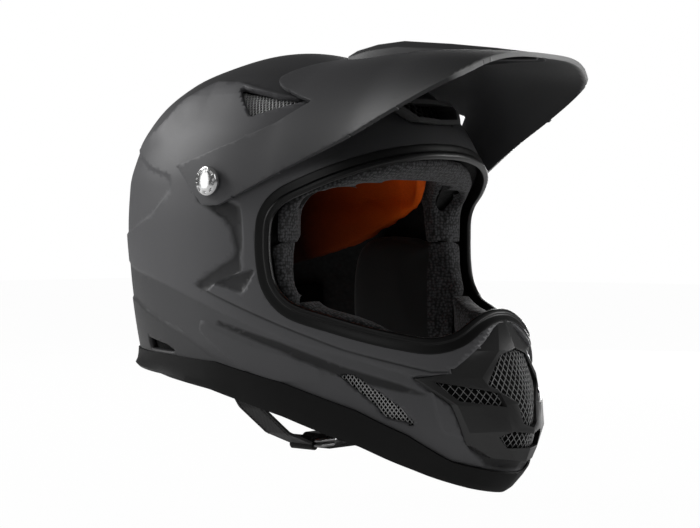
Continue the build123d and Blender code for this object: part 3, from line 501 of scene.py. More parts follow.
def finished_object(name, mesh, body, slot_name, *finishes):
    """A new piece that rides on a body, with its finishes."""
    if not mesh.polygons:
        raise RuntimeError(name + " has no faces")
    for finish in finishes:
        mesh.materials.append(finish)
    obj = placed(name, mesh)
    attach(obj, body)
    return obj


def applied(mesh, modifiers):
    """A mesh with modifiers applied to it."""
    holder = placed("holder", mesh)
    for kind, settings in modifiers:
        modifier = holder.modifiers.new(kind.lower(), kind)
        for key, value in settings.items():
            setattr(modifier, key, value)
    bpy.context.view_layer.update()
    result = bpy.data.meshes.new_from_object(evaluated(holder))
    bpy.data.objects.remove(holder)
    return result


def to_mesh(bm, name, angle=40.0, scale=MM):
    """A smooth shaded mesh in metres whose sharp edges stay sharp."""
    mesh = bpy.data.meshes.new(name)
    bmesh.ops.scale(bm, vec=(scale,) * 3, verts=bm.verts)
    bmesh.ops.recalc_face_normals(bm, faces=bm.faces)
    bm.to_mesh(mesh)
    bm.free()
    smooth(mesh, angle)
    return mesh


def smooth(mesh, angle):
    mesh.shade_smooth()
    mesh.set_sharp_from_angle(angle=math.radians(angle))


def paint(mesh, name, values):
    """Stores one number per point under a name."""
    layer = mesh.attributes.new(name, "FLOAT", "POINT")
    layer.data.foreach_set("value", np.asarray(values, np.float32))


def arithmetic(operation, turned=False):
    """A method that joins a tone with another, or with a number, by a node."""

    def method(self, other):
        pair = (other, self) if turned else (self, other)
        return self._maths(operation, *pair)

    return method


class Tone:
    """A socket of a material's nodes, with arithmetic."""

    def __init__(self, tree, socket):
        self.tree, self.socket = tree, socket

    def _maths(self, operation, *values, clamp=False):
        node = self.tree.nodes.new("ShaderNodeMath")
        node.operation, node.use_clamp = operation, clamp
        for slot, value in zip(node.inputs, values):
            if isinstance(value, Tone):
                self.tree.links.new(value.socket, slot)
            else:
                slot.default_value = value
        return Tone(self.tree, node.outputs[0])

    __add__, __radd__ = arithmetic("ADD"), arithmetic("ADD", True)
    __sub__, __rsub__ = arithmetic("SUBTRACT"), arithmetic("SUBTRACT", True)
    __mul__, __rmul__ = arithmetic("MULTIPLY"), arithmetic("MULTIPLY", True)
    __truediv__, __pow__ = arithmetic("DIVIDE"), arithmetic("POWER")

    def sine(self):
        return self._maths("SINE", self)

    def held(self):
        return self._maths("ADD", self, 0.0, clamp=True)

    def step(self, low, high):
        """0 below low, 1 above high."""
        return ((self - low) / (high - low)).held()


def srgb(*values):
    """Colours of a picture, from 0 to 255, as linear light."""
    out = []
    for v in values:
        c = v / 255
        out.append(c / 12.92 if c <= 0.04045 else ((c + 0.055) / 1.055) ** 2.4)
    return (out[0],) * 3 + (1,) if len(out) == 1 else tuple(out) + (1,)


class Finish:
    """A material whose nodes are written as expressions."""

    def __init__(self, name, roughness=0.5, metallic=0.0, specular=0.5, sheen=0.0):
        self.material = bpy.data.materials.new(name)
        self.material.use_nodes = True
        self.tree = self.material.node_tree
        self.shader = self.tree.nodes["Principled BSDF"]
        for key, value in (("Roughness", roughness), ("Metallic", metallic),
                           ("Specular IOR Level", specular), ("Sheen Weight", sheen)):
            self.shader.inputs[key].default_value = value

    def node(self, kind, output=0, settings=None, **values):
        """Adds a node, sets it, feeds its sockets and gives one of its outputs."""
        node = self.tree.nodes.new(kind)
        for key, value in (settings or {}).items():
            setattr(node, key, value)
        for key, value in values.items():
            number = key[0] == "i" and key[1:].isdigit()
            self.fill(node.inputs[int(key[1:]) if number else key], value)
        return Tone(self.tree, node.outputs[output])

    def fill(self, slot, value):
        """Gives a socket a value, or links a tone to it."""
        if isinstance(value, Tone):
            self.tree.links.new(value.socket, slot)
        else:
            slot.default_value = value

    def place(self, scale=(1.0, 1.0, 1.0)):
        spot = self.node("ShaderNodeTexCoord", "Object")
        return self.node("ShaderNodeMapping", Vector=spot, Scale=scale)

    def axis(self, spot, name):
        return self.node("ShaderNodeSeparateXYZ", name, Vector=spot)

    def noise(self, scale, detail=3.0, spot=None):
        spot = spot or self.place()
        return self.node("ShaderNodeTexNoise", "Fac", Vector=spot, Scale=scale, Detail=detail)

    def painted(self, name):
        return self.node("ShaderNodeAttribute", "Fac", settings={"attribute_name": name})

    def blend(self, factor, low, high):
        """A colour between two others."""
        return self.node(
            "ShaderNodeMix", 2, settings={"data_type": "RGBA"}, i0=factor, i6=low, i7=high
        )

    def shaded(self, colour, factor):
        """A colour made darker by a factor."""
        return self.node(
            "ShaderNodeMix", 2, settings={"data_type": "RGBA", "blend_type": "MULTIPLY"},
            i0=1.0, i6=colour, i7=self.grey(factor),
        )

    def grey(self, value):
        return self.node("ShaderNodeCombineColor", i0=value, i1=value, i2=value)

    def colour(self, value):
        self.feed("Base Color", value)

    def feed(self, name, value):
        self.fill(self.shader.inputs[name], value)

    def relief(self, height, depth, strength=1.0):
        bump = self.node("ShaderNodeBump", 0, Height=height, Distance=depth, Strength=strength)
        self.feed("Normal", bump)
        return self


def finish_shell(name, colour, dark, edge=None):
    """Matte paint with a fine grain, darker where the form is painted so (painted shade among it),
    and lighter where an edge colour is given, as a painted highlight.
    """
    f = Finish(name, roughness=0.5, specular=0.42)
    grain = f.noise(900.0, 2.0)
    base = f.blend(f.painted("tone"), dark, colour)
    # Painted highlight: where the edge attribute is painted, the colour turns to a light band.
    if edge:
        base = f.blend(f.painted("edge"), base, edge)
    f.colour(f.shaded(base, 0.93 + 0.14 * f.noise(9.0)))
    f.feed("Roughness", 0.42 + 0.14 * grain)
    return f.relief(grain, 0.00006, 0.35).material


def finish_moulded(name, colour, roughness, specular, cloud, grain, depth):
    """A moulded surface: the cloud and the grain give a scale, a least value and a range."""
    f = Finish(name, roughness=roughness, specular=specular)
    fine = f.noise(grain[0], 2.0)
    f.colour(f.shaded(colour, cloud[1] + cloud[2] * f.noise(cloud[0])))
    f.feed("Roughness", roughness + grain[1] + grain[2] * fine)
    return f.relief(fine, depth, 0.3).material


def finish_rubber(name, colour, roughness, specular=0.22):
    cloud, grain = (40.0, 0.85, 0.3), (1400.0, -0.06, 0.12)
    return finish_moulded(name, colour, roughness, specular, cloud, grain, 0.00005)


def finish_plastic(name, colour, roughness):
    cloud, grain = (25.0, 0.9, 0.2), (1100.0, -0.05, 0.1)
    return finish_moulded(name, colour, roughness, 0.5, cloud, grain, 0.00004)


def finish_foam():
    f = Finish("liner_foam", roughness=0.8, specular=0.25)
    beads = f.node("ShaderNodeTexVoronoi", "Distance", Vector=f.place(), Scale=330.0)
    f.colour(f.blend(beads, srgb(26), srgb(10)))
    return f.relief(1.0 - beads, 0.0004, 0.6).material


def finish_dotted(name, colour, dark, pitch=2.0):
    """Knitted mesh with small dots, plain black behind the seam."""
    f = Finish(name, roughness=0.85, specular=0.2, sheen=0.1)
    cells = f.node(
        "ShaderNodeTexVoronoi", "Distance", Vector=f.place(), Scale=1000.0 / pitch, Randomness=0.6
    )
    dots = cells.step(0.66, 0.26) * (1.0 - f.painted("plain"))
    knit = f.noise(2500.0, 1.0)
    f.colour(f.shaded(f.blend(dots, dark, colour), 0.75 + 0.5 * knit))
    return f.relief(knit * 0.3 + dots, 0.0004, 0.6).material


def finish_lining(name, colour, dark):
    """Brushed knit lining, with painted shade deeper inside the helmet."""
    f = Finish(name, roughness=0.9, specular=0.1)
    fibre = f.noise(1800.0, 3.0, f.place((1.0, 0.35, 1.0)))
    # Painted shade: the lining darkens towards the rear, deeper inside the helmet where less light
    # reaches.
    deep = 1.0 - 0.985 * f.painted("deep") ** 0.55
    worn = f.blend(f.noise(30.0).step(0.3, 0.7), dark, colour)
    f.colour(f.shaded(worn, (0.7 + 0.5 * fibre) * deep))
    return f.relief(fibre, 0.0005, 0.6).material


def finish_webbing(colour):
    """Flat woven strap, ribbed along its length."""
    f = Finish("strap_webbing", roughness=0.7, specular=0.3, sheen=0.1)
    uv = f.node("ShaderNodeUVMap", "UV")
    along, across = f.axis(uv, "X"), f.axis(uv, "Y")
    ribs = (across * (2 * math.pi / 1.5)).sine() * 0.5 + 0.5
    picks = (along * (2 * math.pi / 1.1) + across * 2.1).sine() * 0.5 + 0.5
    weave = ribs * 0.6 + picks * 0.4
    f.colour(f.shaded(colour, 0.55 + 0.75 * weave))
    return f.relief(weave, 0.0003, 0.8).material


def finish_metal(name, colour, roughness):
    f = Finish(name, roughness=roughness, metallic=1.0)
    streak = f.noise(700.0, 2.0, f.place((0.3, 1.0, 1.0)))
    f.colour(f.shaded(colour, 0.9 + 0.15 * streak))
    f.feed("Roughness", roughness - 0.04 + 0.1 * streak)
    return f.relief(streak, 0.00002, 0.3).material


class HelmetSizes(bpy.types.PropertyGroup):
    ridge_rise: bpy.props.FloatProperty(
        name="Ridge rise", description="How far the crown ridges stand proud",
        default=0.003, min=0, max=0.005, unit="LENGTH",
    )
    panel_depth: bpy.props.FloatProperty(
        name="Panel depth", description="How deep the side panels lie",
        default=0.0014, min=0, max=0.003, unit="LENGTH",
    )
    crease_width: bpy.props.FloatProperty(
        name="Crease width", description="How softly the creases turn",
        default=0.0018, min=0.0005, max=0.008, unit="LENGTH",
    )
    edging_width: bpy.props.FloatProperty(
        name="Edging width", description="How wide the eye port's rubber edging is",
        default=0.009, min=0.004, max=0.014, unit="LENGTH",
    )
    pad_swell: bpy.props.FloatProperty(
        name="Pad swell", description="The most that a pad's face may swell",
        default=0.004, min=0, max=0.008, unit="LENGTH",
    )
    stitch_spacing: bpy.props.FloatProperty(
        name="Stitch spacing", description="How far apart the strap's stitches lie",
        default=0.0034, min=0.002, max=0.01, unit="LENGTH",
    )
    stitch_length: bpy.props.FloatProperty(
        name="Stitch length", description="How long each of the strap's stitches is",
        default=0.0023, min=0.001, max=0.006, unit="LENGTH",
    )


class HelmetColours(bpy.types.PropertyGroup):
    shell: bpy.props.FloatVectorProperty(
        name="Shell", description="Matte colour of the shell's upper parts",
        subtype="COLOR", size=4, default=srgb(92, 92, 94), min=0, max=1,
    )
    # The dark colour is also what the painted shade on the brow and the visor's front darkens
    # towards.
    shell_dark: bpy.props.FloatVectorProperty(
        name="Shell, dark parts", description="Matte colour of the lower body and the channel",
        subtype="COLOR", size=4, default=srgb(28, 28, 29), min=0, max=1,
    )
    lining: bpy.props.FloatVectorProperty(
        name="Lining", description="Colour of the crown lining",
        subtype="COLOR", size=4, default=srgb(240, 100, 18), min=0, max=1,
    )
    pads: bpy.props.FloatVectorProperty(
        name="Pads", description="Colour of the dotted mesh on the pads",
        subtype="COLOR", size=4, default=srgb(72, 72, 74), min=0, max=1,
    )


def sizes():
    return bpy.context.scene.helmet_sizes


def colours():
    return bpy.context.scene.helmet_colours


def tone_at(p):
    """How light the shell's paint is at points on it: 1 where it is palest, with painted shade on
    the brow under the visor.
    """
    y, z = p[:, 1], p[:, 2]
    # Painted shade: the brow under the visor's peak is darkened, as the peak's shadow would darken
    # it.
    tone = 1 - 0.75 * ramp(z, 42, 52) * ramp(y, -62, -92)
    dark_parts = (
        (side_view(LOWER_BODY), 2.0, np.interp(y, [-60, 0, 60], [0.08, 0.3, 0.5])),
        (side_view(REAR_FOOT), 2.0, np.interp(y, [-40, 0, 60], [0.1, 0.35, 0.45])),
        (below_line(BAND_LINE), 34.0, 0.35),
        (side_view(CHANNEL), PAINT_EDGE, np.interp(y, [40, 88], [0.7, 0.0])),
        (side_view(ARROW), 1.2, 0.75), (side_view(TRIANGLE), 1.2, 0.75),
        (side_view(STRIPE), PAINT_EDGE, 0.9), (side_view(LOW_NOTCH), PAINT_EDGE, 0.8),
        (lambda q: np.abs(seam_line(q)) - SEAM_REACH / 2, SEAM_REACH, 0.7),
        (front_view(CHIN_RECESS), PAINT_EDGE, 0.97),
    )
    for distance, width, share in dark_parts:
        tone *= 1 - share * soft_step(distance(p), width)
    return np.clip(tone, 0, 1)


class HELMET_OT_shell(bpy.types.Operator):
    """Builds the moulded shell with its ridges, panels and vents"""

    bl_idname = "helmet.make_shell"
    bl_label = "Shell"

    def execute(self, context):
        s = sizes()
        turns = np.linspace(0, 2 * math.pi, SHELL_TURNS, endpoint=False)
        low = np.arange(SHELL_LOW, CAP_LEVEL, GRID_STEP)
        rise = np.linspace(0, 1, CAP_RINGS + 1)[:-1]
        cap = CROWN[0] - (CROWN[0] - CAP_LEVEL) * (1 - rise) ** 2
        bm = bmesh.new()
        last = lay_grid(bm, [shell_point(turns, z) for z in np.append(low, cap)], True)[-1]
        top = bm.verts.new((0, CROWN[1], CROWN[0]))
        for i, vert in enumerate(last):
            bm.faces.new((vert, last[(i + 1) % len(last)], top))
        cuts = [
            below_line(BAND_LINE), side_view(PORT_OUTLINE), front_view(COVER), front_view(SCOOP),
            side_view(CHEEK_VENT), side_view(CROWN_VENT), side_view(REAR_VENT),
        ]
        for cut in cuts:
            cut_away(bm, cut)
        crease = s.crease_width / MM
        # How far each part of the side stands out, in millimetres
        steps = [
            (STRIPE, -0.9), (LOW_NOTCH, -1.5), (ARROW, -s.panel_depth / MM), (TRIANGLE, -2.6),
            (LOWER_BODY, -0.7), (REAR_FOOT, 0.9), (REAR_PANEL, -1.2), (CHEEK_OVAL, 0.9),
        ]
        creased = [side_view(outline) for outline in [CHANNEL] + [outline for outline, _ in steps]]
        for distance in creased + [front_view(CHIN_RECESS)]:
            for level in (-crease / 2, crease / 2):
                imprint(bm, distance, level)
        for level in (-SEAM_REACH, SEAM_REACH, 0.0):
            imprint(bm, seam_line, level)
        bmesh.ops.dissolve_degenerate(bm, dist=0.02, edges=bm.edges)
        co = coordinates(bm)
        lift = -SEAM_DEPTH * np.clip(1 - np.abs(seam_line(co)) / SEAM_REACH, 0, 1)
        for outline, rise in steps:
            lift += rise * soft_step(side_view(outline)(co), crease)
        chin = soft_step(front_view(CHIN_RECESS)(co), crease)
        lift += s.ridge_rise / MM * self.ridge(co, crease) - CHIN_DEPTH * chin
        for vert, place in zip(bm.verts, co + outward(co) * lift[:, None]):
            vert.co = place
        mesh = to_mesh(bm, "shell_body", 60.0)
        paint(mesh, "tone", tone_at(co))
        mesh = applied(mesh, [wall(SHELL_WALL), ("WEIGHTED_NORMAL", {"keep_sharp": True})])
        finish = finish_shell("shell_paint", colours().shell, colours().shell_dark)
        obj = finished_object("shell_body", mesh, "root", "shell_finish", finish)
        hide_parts("outer_shell")
        return {"FINISHED"}

    def ridge(self, p, crease):
        """How high the rounded ridge beside the crown's channel stands: 1 at its crest."""
        away = side_view(CHANNEL)(p)
        along = ramp(p[:, 1], *RIDGE_FRONT) * ramp(p[:, 1], *RIDGE_REAR)
        across = np.exp(-((np.maximum(away, 0) / RIDGE_WIDTH) ** 2))
        return along * across * (1 - soft_step(away, crease))


def visor_point(y, turn):
    """Points of the visor's outer form."""
    tall, wide, power = [graded(VISOR_ARCHES[:, 0], VISOR_ARCHES[:, k])(y) for k in (1, 2, 3)]
    x = np.sign(np.cos(turn)) * np.abs(np.cos(turn)) ** (2 / power) * wide
    z = np.abs(np.sin(turn)) ** (2 / power) * tall
    return np.stack([x, np.full_like(x, y), z], -1)


def visor_nose(p):
    """Distance behind the visor's rounded front edge: negative ahead of it."""
    x = np.abs(p[:, 0])
    corner, place = VISOR_CORNER
    front = -VISOR_NOSE + (VISOR_NOSE - place) * np.minimum(x / corner, 1) ** 2.4
    front = np.where(x > corner, -place + (x - corner) * 1.0, front)
    return p[:, 1] - front


class HELMET_OT_visor(bpy.types.Operator):
    """Builds the visor peak, its fin and its front rim, which carries a painted highlight"""

    bl_idname = "helmet.make_visor"
    bl_label = "Visor"

    def execute(self, context):
        turns = np.linspace(math.pi, 0, VISOR_TURNS)
        stations = np.arange(-212.0, 17.0, GRID_STEP)
        bm = grid_surface([visor_point(y, turns) for y in stations], False)
        cut_away(bm, side_view(VISOR_OUTLINE), keep_outside=False)
        cut_away(bm, visor_nose)
        co = coordinates(bm)
        # Painted highlight: a light band along the visor's rounded front edge, where a rim light
        # would catch it.
        edge = 1 - ramp(visor_nose(co), 0, 3.0)
        # Painted shade: the visor's paint darkens towards its front, standing in for the light
        # falling off there.
        tone = 0.1 + 0.9 * ramp(co[:, 1], -190, 0) ** 1.5
        mesh = to_mesh(bm, "visor_shell", 60.0)
        paint(mesh, "tone", tone)
        paint(mesh, "edge", edge)
        mesh = applied(mesh, [wall(VISOR_WALL), bevel(0.7, 2, 60)])
        smooth(mesh, 50.0)
        c = colours()
        # The light grey srgb(165) is the painted highlight's colour along the front edge.
        finish = finish_shell("visor_paint", c.shell, c.shell_dark, srgb(165))
        obj = finished_object("visor_shell", mesh, "visor", "visor_finish", finish)
        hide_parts("visor_peak")
        self.fin(finish)
        return {"FINISHED"}

    def fin(self, finish):
        """The raised fin, by its place along the head, its top, its half width and its foot."""
        rows = [(-51.0, 131.0, 20.0, 117.0), (-70.0, 134.0, 20.5, 117.0),
                (-92.0, 134.9, 18.5, 117.0), (-130.0, 130.5, 13.5, 117.0),
                (-165.0, 125.5, 8.5, 117.0), (-198.0, 119.9, 3.6, 116.0)]
        points = []
        for y, top, half, foot in rows:
            right = [(-half - 3, y, foot), (-half, y, top - half / 6 - 1.5), (-half / 2, y, top)]
            points.append(right + [(-x, y, z) for x, y, z in right[::-1]])
        mesh = to_mesh(grid_surface(points, False), "visor_fin", 30.0)
        mesh = applied(mesh, [wall(2.2), bevel(0.8, 3, 18)])
        paint(mesh, "tone", np.full(len(mesh.vertices), 0.3))
        smooth(mesh, 45.0)
        finished_object("visor_fin", mesh, "visor", "visor_finish", finish)


def port_loop(count):
    """The eye port's edge on the shell, once round: down the wearer's right and up the left."""
    line = round_curve(PORT_EDGE, 600)
    x = half_breadth(line[:, 0], line[:, 1])
    near = np.stack([-x, line[:, 0], line[:, 1]], -1)[x > 0]
    tip_top, tip_low = near[0].copy(), near[-1].copy()
    tip_top[0], tip_low[0] = 0.0, 0.0
    far = near[::-1] * np.array([-1, 1, 1])
    loop = np.vstack([tip_top, near, tip_low, far])
    return evened(evenly(loop, count, closed=True), 3)


def rounded(profile):
    """A closed profile with its corners cut round."""
    p = np.array(profile, float)
    for _ in range(2):
        a, b = p, np.roll(p, -1, 0)
        p = np.stack([0.8 * a + 0.2 * b, 0.2 * a + 0.8 * b], 1).reshape(-1, 2)
    return [tuple(q) for q in p]


class HELMET_OT_edgings(bpy.types.Operator):
    """Builds the eye port's rubber edging and the band along the lower rim"""

    bl_idname = "helmet.make_edgings"
    bl_label = "Edgings"

    def execute(self, context):
        s = sizes()
        loop = port_loop(EDGING_POINTS)
        normal = outward(loop)
        along = np.roll(loop, -1, 0) - np.roll(loop, 1, 0)
        side = np.cross(unit(along), normal)
        towards = np.array([0.0, -110.0, 0.0]) - loop
        side *= np.median(np.sign((side * towards).sum(1)))
        side, normal = unit(evened(side, 6)), unit(evened(normal, 6))
        w = s.edging_width / MM
        profile = rounded([(-1.8, 0.1), (-1.5, 0.7), (0.3, 0.7), (w - 5.2, 0.2), (w - 4.4, 0.4),
                           (w - 3.8, 1.5), (w - 1.0, 1.4), (w, 0.3), (w, -2.4),
                           (w - 1.0, -3.0), (-0.6, -4.6), (-1.0, -3.6), (-1.0, 0.0)])
        rings = [loop + side * across + normal * out for across, out in profile]
        mesh = to_mesh(grid_surface(rings, True, True), "port_edging", 45.0)
        rubber = finish_rubber("edging_rubber", srgb(6), 0.38, 0.35)
        obj = finished_object("port_edging", mesh, "root", "edge_rubber", rubber)
        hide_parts("eye_port_trim")
        turns = np.linspace(0, 2 * math.pi, BAND_POINTS, endpoint=False)
        top, low = self.rim_loop(turns, BAND_LINE), self.rim_loop(turns, RIM_LINE)
        normal = outward((top + low) / 2)
        mesh = to_mesh(self.band(top, low, normal), "rim_band", 45.0)
        rubber = finish_rubber("rim_rubber", srgb(17), 0.5)
        obj = finished_object("rim_band", mesh, "root", "edge_rubber", rubber)
        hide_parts("lower_edge_trim")
        return {"FINISHED"}

    def rim_loop(self, turns, line):
        line = np.array(sorted(line))
        z = np.full(len(turns), -100.0)
        for _ in range(30):
            p = shell_point(turns, z)
            z = 0.5 * z + 0.5 * np.interp(p[:, 1], line[:, 0], line[:, 1])
        return shell_point(turns, z)

    def band(self, top, low, normal):
        """The band between two loops, with a lip that flares out round the neck."""
        flare = NECK_FLARE * ramp(top[:, 1], -30, 30)[:, None]
        # Share of the way down, step outwards and share of the flare
        steps = [(-0.16, 0.1, 0), (-0.14, 1.3, 0), (0.2, 1.7, 0.15), (0.55, 1.6, 0.5),
                 (0.8, 1.5, 1.0), (1.0, 0.6, 0.9), (1.02, -1.5, 0.3), (1.0, -5.4, 0),
                 (0.85, -5.8, 0), (0.1, -5.6, 0), (-0.02, -4.2, 0), (-0.02, -0.2, 0)]
        rings = [top + (low - top) * share + normal * out + normal * flare * k
                 for share, out, k in steps]
        return grid_surface(rings, True, True)


def dress(finish, *starts):
    """Gives a finish to the model nodes whose names start so."""
    for name, node in NODES.items():
        if name.startswith(starts):
            while len(node.material_slots) > 1:
                node.data.materials.pop()
            if not node.material_slots:
                node.data.materials.append(finish)
            node.material_slots[0].material = finish


def surface_point(flat, view, inset):
    """Points of the shell's form above flat points of a view, sunk by an inset."""
    if view == "side":
        y, z = flat[:, 0], flat[:, 1]
        p = np.stack([-half_breadth(y, z), y, z], -1)
    else:
        x, z = flat[:, 0], flat[:, 1]
        reach, width, middle, power = section(z, np.full(len(z), True))
        rest = np.maximum(1 - np.abs(x / width) ** power, 0) ** (1 / power)
        p = np.stack([x, middle - reach * rest, z], -1)
    return p - outward(p) * inset


def clipped_runs(outline, angle, pitch, step=0.5):
    """Parallel lines across an outline, as runs of flat points inside it."""
    outline = np.array(outline, float)
    along = np.array([math.cos(angle), math.sin(angle)])
    across = np.array([-along[1], along[0]])
    middle = outline.mean(0)
    reach = np.abs(outline - middle).sum(1).max()
    ticks = np.arange(-reach, reach, step)
    for k in np.arange(-reach // pitch, reach // pitch + 1):
        line = middle + across * (k * pitch) + along * ticks[:, None]
        inside = polygon_distance(line, outline) < 1.2
        edges = np.flatnonzero(np.diff(np.concatenate([[0], inside.astype(int), [0]])))
        for start, end in edges.reshape(-1, 2):
            if end - start > 2:
                yield line[start:end]


def wire_grille(name, outline, view, pitch, wire, inset, mirror):
    """A grille of crossing wires that follows the shell's form."""
    bm = bmesh.new()
    for angle, sink in ((math.radians(58), 0.0), (math.radians(-58), wire * 0.6)):
        for run in clipped_runs(outline, angle, pitch):
            count = max(2, len(run) // 6)
            run = run[np.linspace(0, len(run) - 1, count).astype(int)]
            centre = surface_point(run, view, inset + sink)
            normal = outward(centre)
            along = np.gradient(centre, axis=0)
            side = unit(np.cross(along, normal))
            h = wire / 2
            ring = [side * h, normal * h, -side * h, -normal * h]
            rows = lay_grid(bm, [[c + r[i] for r in ring] for i, c in enumerate(centre)], True)
            bm.faces.new(rows[0])
            bm.faces.new(rows[-1][::-1])
    if mirror:
        for vert in bm.verts:
            vert.co.x = -vert.co.x
    return to_mesh(bm, name, 180.0)


def vent_shade_sheet(name, outline, view, inset, mirror):
    """A dark sheet of painted shade behind a grille, standing in for the darkness inside the vent.
    """
    outline = np.array(outline, float)
    low, high = outline.min(0) - 8, outline.max(0) + 8
    a, b = np.linspace(low[0], high[0], 24), np.linspace(low[1], high[1], 16)
    points = [surface_point(np.stack([a, np.full_like(a, v)], -1), view, inset) for v in b]
    if mirror:
        points = [p * np.array([-1, 1, 1]) for p in points]
    mesh = to_mesh(grid_surface(points, False), name, 180.0)
    return applied(mesh, [wall(1.2, 0.0)])


class HELMET_OT_vents(bpy.types.Operator):
    """Finishes the mouth cover and brow scoop, and builds the wire grilles behind the vents, with
    dark sheets of painted shade behind them
    """

    bl_idname = "helmet.make_vents"
    bl_label = "Vents"

    def execute(self, context):
        cover = applied(node_form("mouth_vent_cover", merge=2.0), [bevel(0.5, 2, 14)])
        smooth(cover, 28.0)
        obj = finished_object("mouth_cover", cover, "root", "vent_frame_gloss",
                              finish_plastic("vent_gloss", srgb(52), 0.3))
        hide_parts("mouth_vent_cover")
        dress(finish_plastic("scoop_plastic", srgb(78), 0.35), "brow_vent_scoop")
        dress(finish_plastic("brow_grille", srgb(45), 0.5), "brow_vent_mesh")
        grille = finish_plastic("vent_grille", srgb(165), 0.4)
        fine = finish_plastic("fine_grille", srgb(215), 0.45)
        # Painted shade: near-black sheets behind the grilles stand in for the darkness inside the
        # vents.
        shade_sheet_finish = finish_rubber("vent_shade_sheet", srgb(9), 0.8)
        # View, pitch, wire width, depth below the shell and finish
        mouth, side = ("front", 3.3, 0.6, 3.6, grille), ("side", 2.0, 0.7, 4.2, fine)
        # Name, node, outline, whether it is mirrored, and how it is made
        plan = [
            ("mouth_upper", "mouth_mesh_upper", MOUTH_UPPER, False, mouth),
            ("mouth_lower", "mouth_mesh_lower", MOUTH_LOWER, False, mouth),
            ("mouth_right", "mouth_mesh_side_right", MOUTH_SIDE, False, mouth),
            ("mouth_left", "mouth_mesh_side_left", MOUTH_SIDE, True, mouth),
            ("cheek_right", "cheek_vent_mesh_right", CHEEK_VENT, False, side),
            ("cheek_left", "cheek_vent_mesh_left", CHEEK_VENT, True, side),
            ("crown_right", "crown_vent_mesh_right", CROWN_VENT, False, side),
            ("crown_left", "crown_vent_mesh_left", CROWN_VENT, True, side),
        ]
        for name, node, outline, mirror, (view, pitch, wire, inset, finish) in plan:
            mesh = wire_grille("grille_" + name, outline, view, pitch, wire, inset, mirror)
            obj = finished_object("grille_" + name, mesh, "root", "vent_mesh", finish)
            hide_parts(node)
            # A sheet of painted shade 3 mm behind each grille.
            mesh = vent_shade_sheet("shade_sheet_" + name, outline, view, inset + 3.0, mirror)
            finished_object("shade_sheet_" + name, mesh, "root", "vent_mesh", shade_sheet_finish)
        return {"FINISHED"}


def closed_form(mesh, voxel, reshape=None):
    """A form as one closed even mesh, reshaped by a function of its points in millimetres."""
    if reshape:
        move_points(mesh, reshape(points_of(mesh) / MM, tree_of(mesh)) * MM)
    return applied(mesh, [
        ("REMESH", {"mode": "VOXEL", "voxel_size": voxel * MM}),
        ("SMOOTH", {"factor": 0.5, "iterations": 12}),
    ])


def welded(name, merge=None):
    """A model node's form to edit, with triangles that lie within some degrees made one face."""
    bm = bmesh.new()
    bm.from_mesh(NODES[name].data)
    bmesh.ops.remove_doubles(bm, verts=bm.verts, dist=1e-5)
    if merge:
        angle = math.radians(merge)
        bmesh.ops.dissolve_limit(bm, angle_limit=angle, verts=bm.verts, edges=bm.edges)
    return bm


def node_form(name, clip=None, merge=None):
    """A copy of a model node's form, cut off at a distance from the middle if one is given."""
    bm = welded(name, merge)
    if clip:
        side = 1 if name.endswith("left") else -1
        cut = bmesh.ops.bisect_plane(
            bm, geom=bm.verts[:] + bm.edges[:] + bm.faces[:], plane_co=(side * clip * MM, 0, 0),
            plane_no=(-side, 0, 0), clear_outer=True,
        )
        edges = [e for e in cut["geom_cut"] if isinstance(e, bmesh.types.BMEdge)]
        bmesh.ops.holes_fill(bm, edges=edges)
    if not merge:
        bmesh.ops.triangulate(bm, faces=bm.faces)
    mesh = bpy.data.meshes.new(name + "_form")
    bm.to_mesh(mesh)
    bm.free()
    return mesh


def tree_of(mesh):
    """A mesh's faces, to cast rays at."""
    points, faces = [v.co[:] for v in mesh.vertices], [p.vertices[:] for p in mesh.polygons]
    return BVHTree.FromPolygons(points, faces)


def pad_breadth(p, tree):
    """How far from the middle a pad's own outer face lies beside points."""
    breadth = np.full(len(p), 200.0)
    for i, (x, y, z) in enumerate(p * MM):
        side = 1 if x > 0 else -1
        hit = tree.ray_cast(Vector((0.3 * side, y, z)), Vector((-side, 0, 0)))[0]
        if hit:
            breadth[i] = abs(hit.x) / MM
    return breadth


def stood_out(p, tree, face, low, high):
    """Pad points kept so far from the middle, between two levels, with 6 mm of pad left."""
    out = p.copy()
    limit = np.minimum(np.interp(p[:, 1], *face), pad_breadth(p, tree) - 6)
    share = ramp(p[:, 2], high, high - 28) * ramp(p[:, 2], low, low + 14)
    x = np.abs(p[:, 0])
    out[:, 0] = np.sign(p[:, 0]) * (x + share * np.maximum(limit - x, 0))
    return out


def cheek_shape(p, tree):
    """A cheek pad's points with its inner face drawn out and its top raised to the brow pad."""
    p = stood_out(p, tree, CHEEK_FACE, -200, 100)
    p[:, 2] += 4.2 * ramp(p[:, 2], -20, 0)
    return p


def brow_shape(p, tree):
    """The brow pad's points with its ends drawn out, forwards and down to the cheek pads."""
    p = stood_out(p, tree, BROW_FACE, -50, 58)
    low = ramp(p[:, 2], 52, 24)
    p[:, 1] = np.where(p[:, 1] > -60, -60 + (p[:, 1] + 60) * (1 - 0.45 * low), p[:, 1])
    p[:, 2] -= 5.0 * ramp(p[:, 2], 18, 4)
    return p


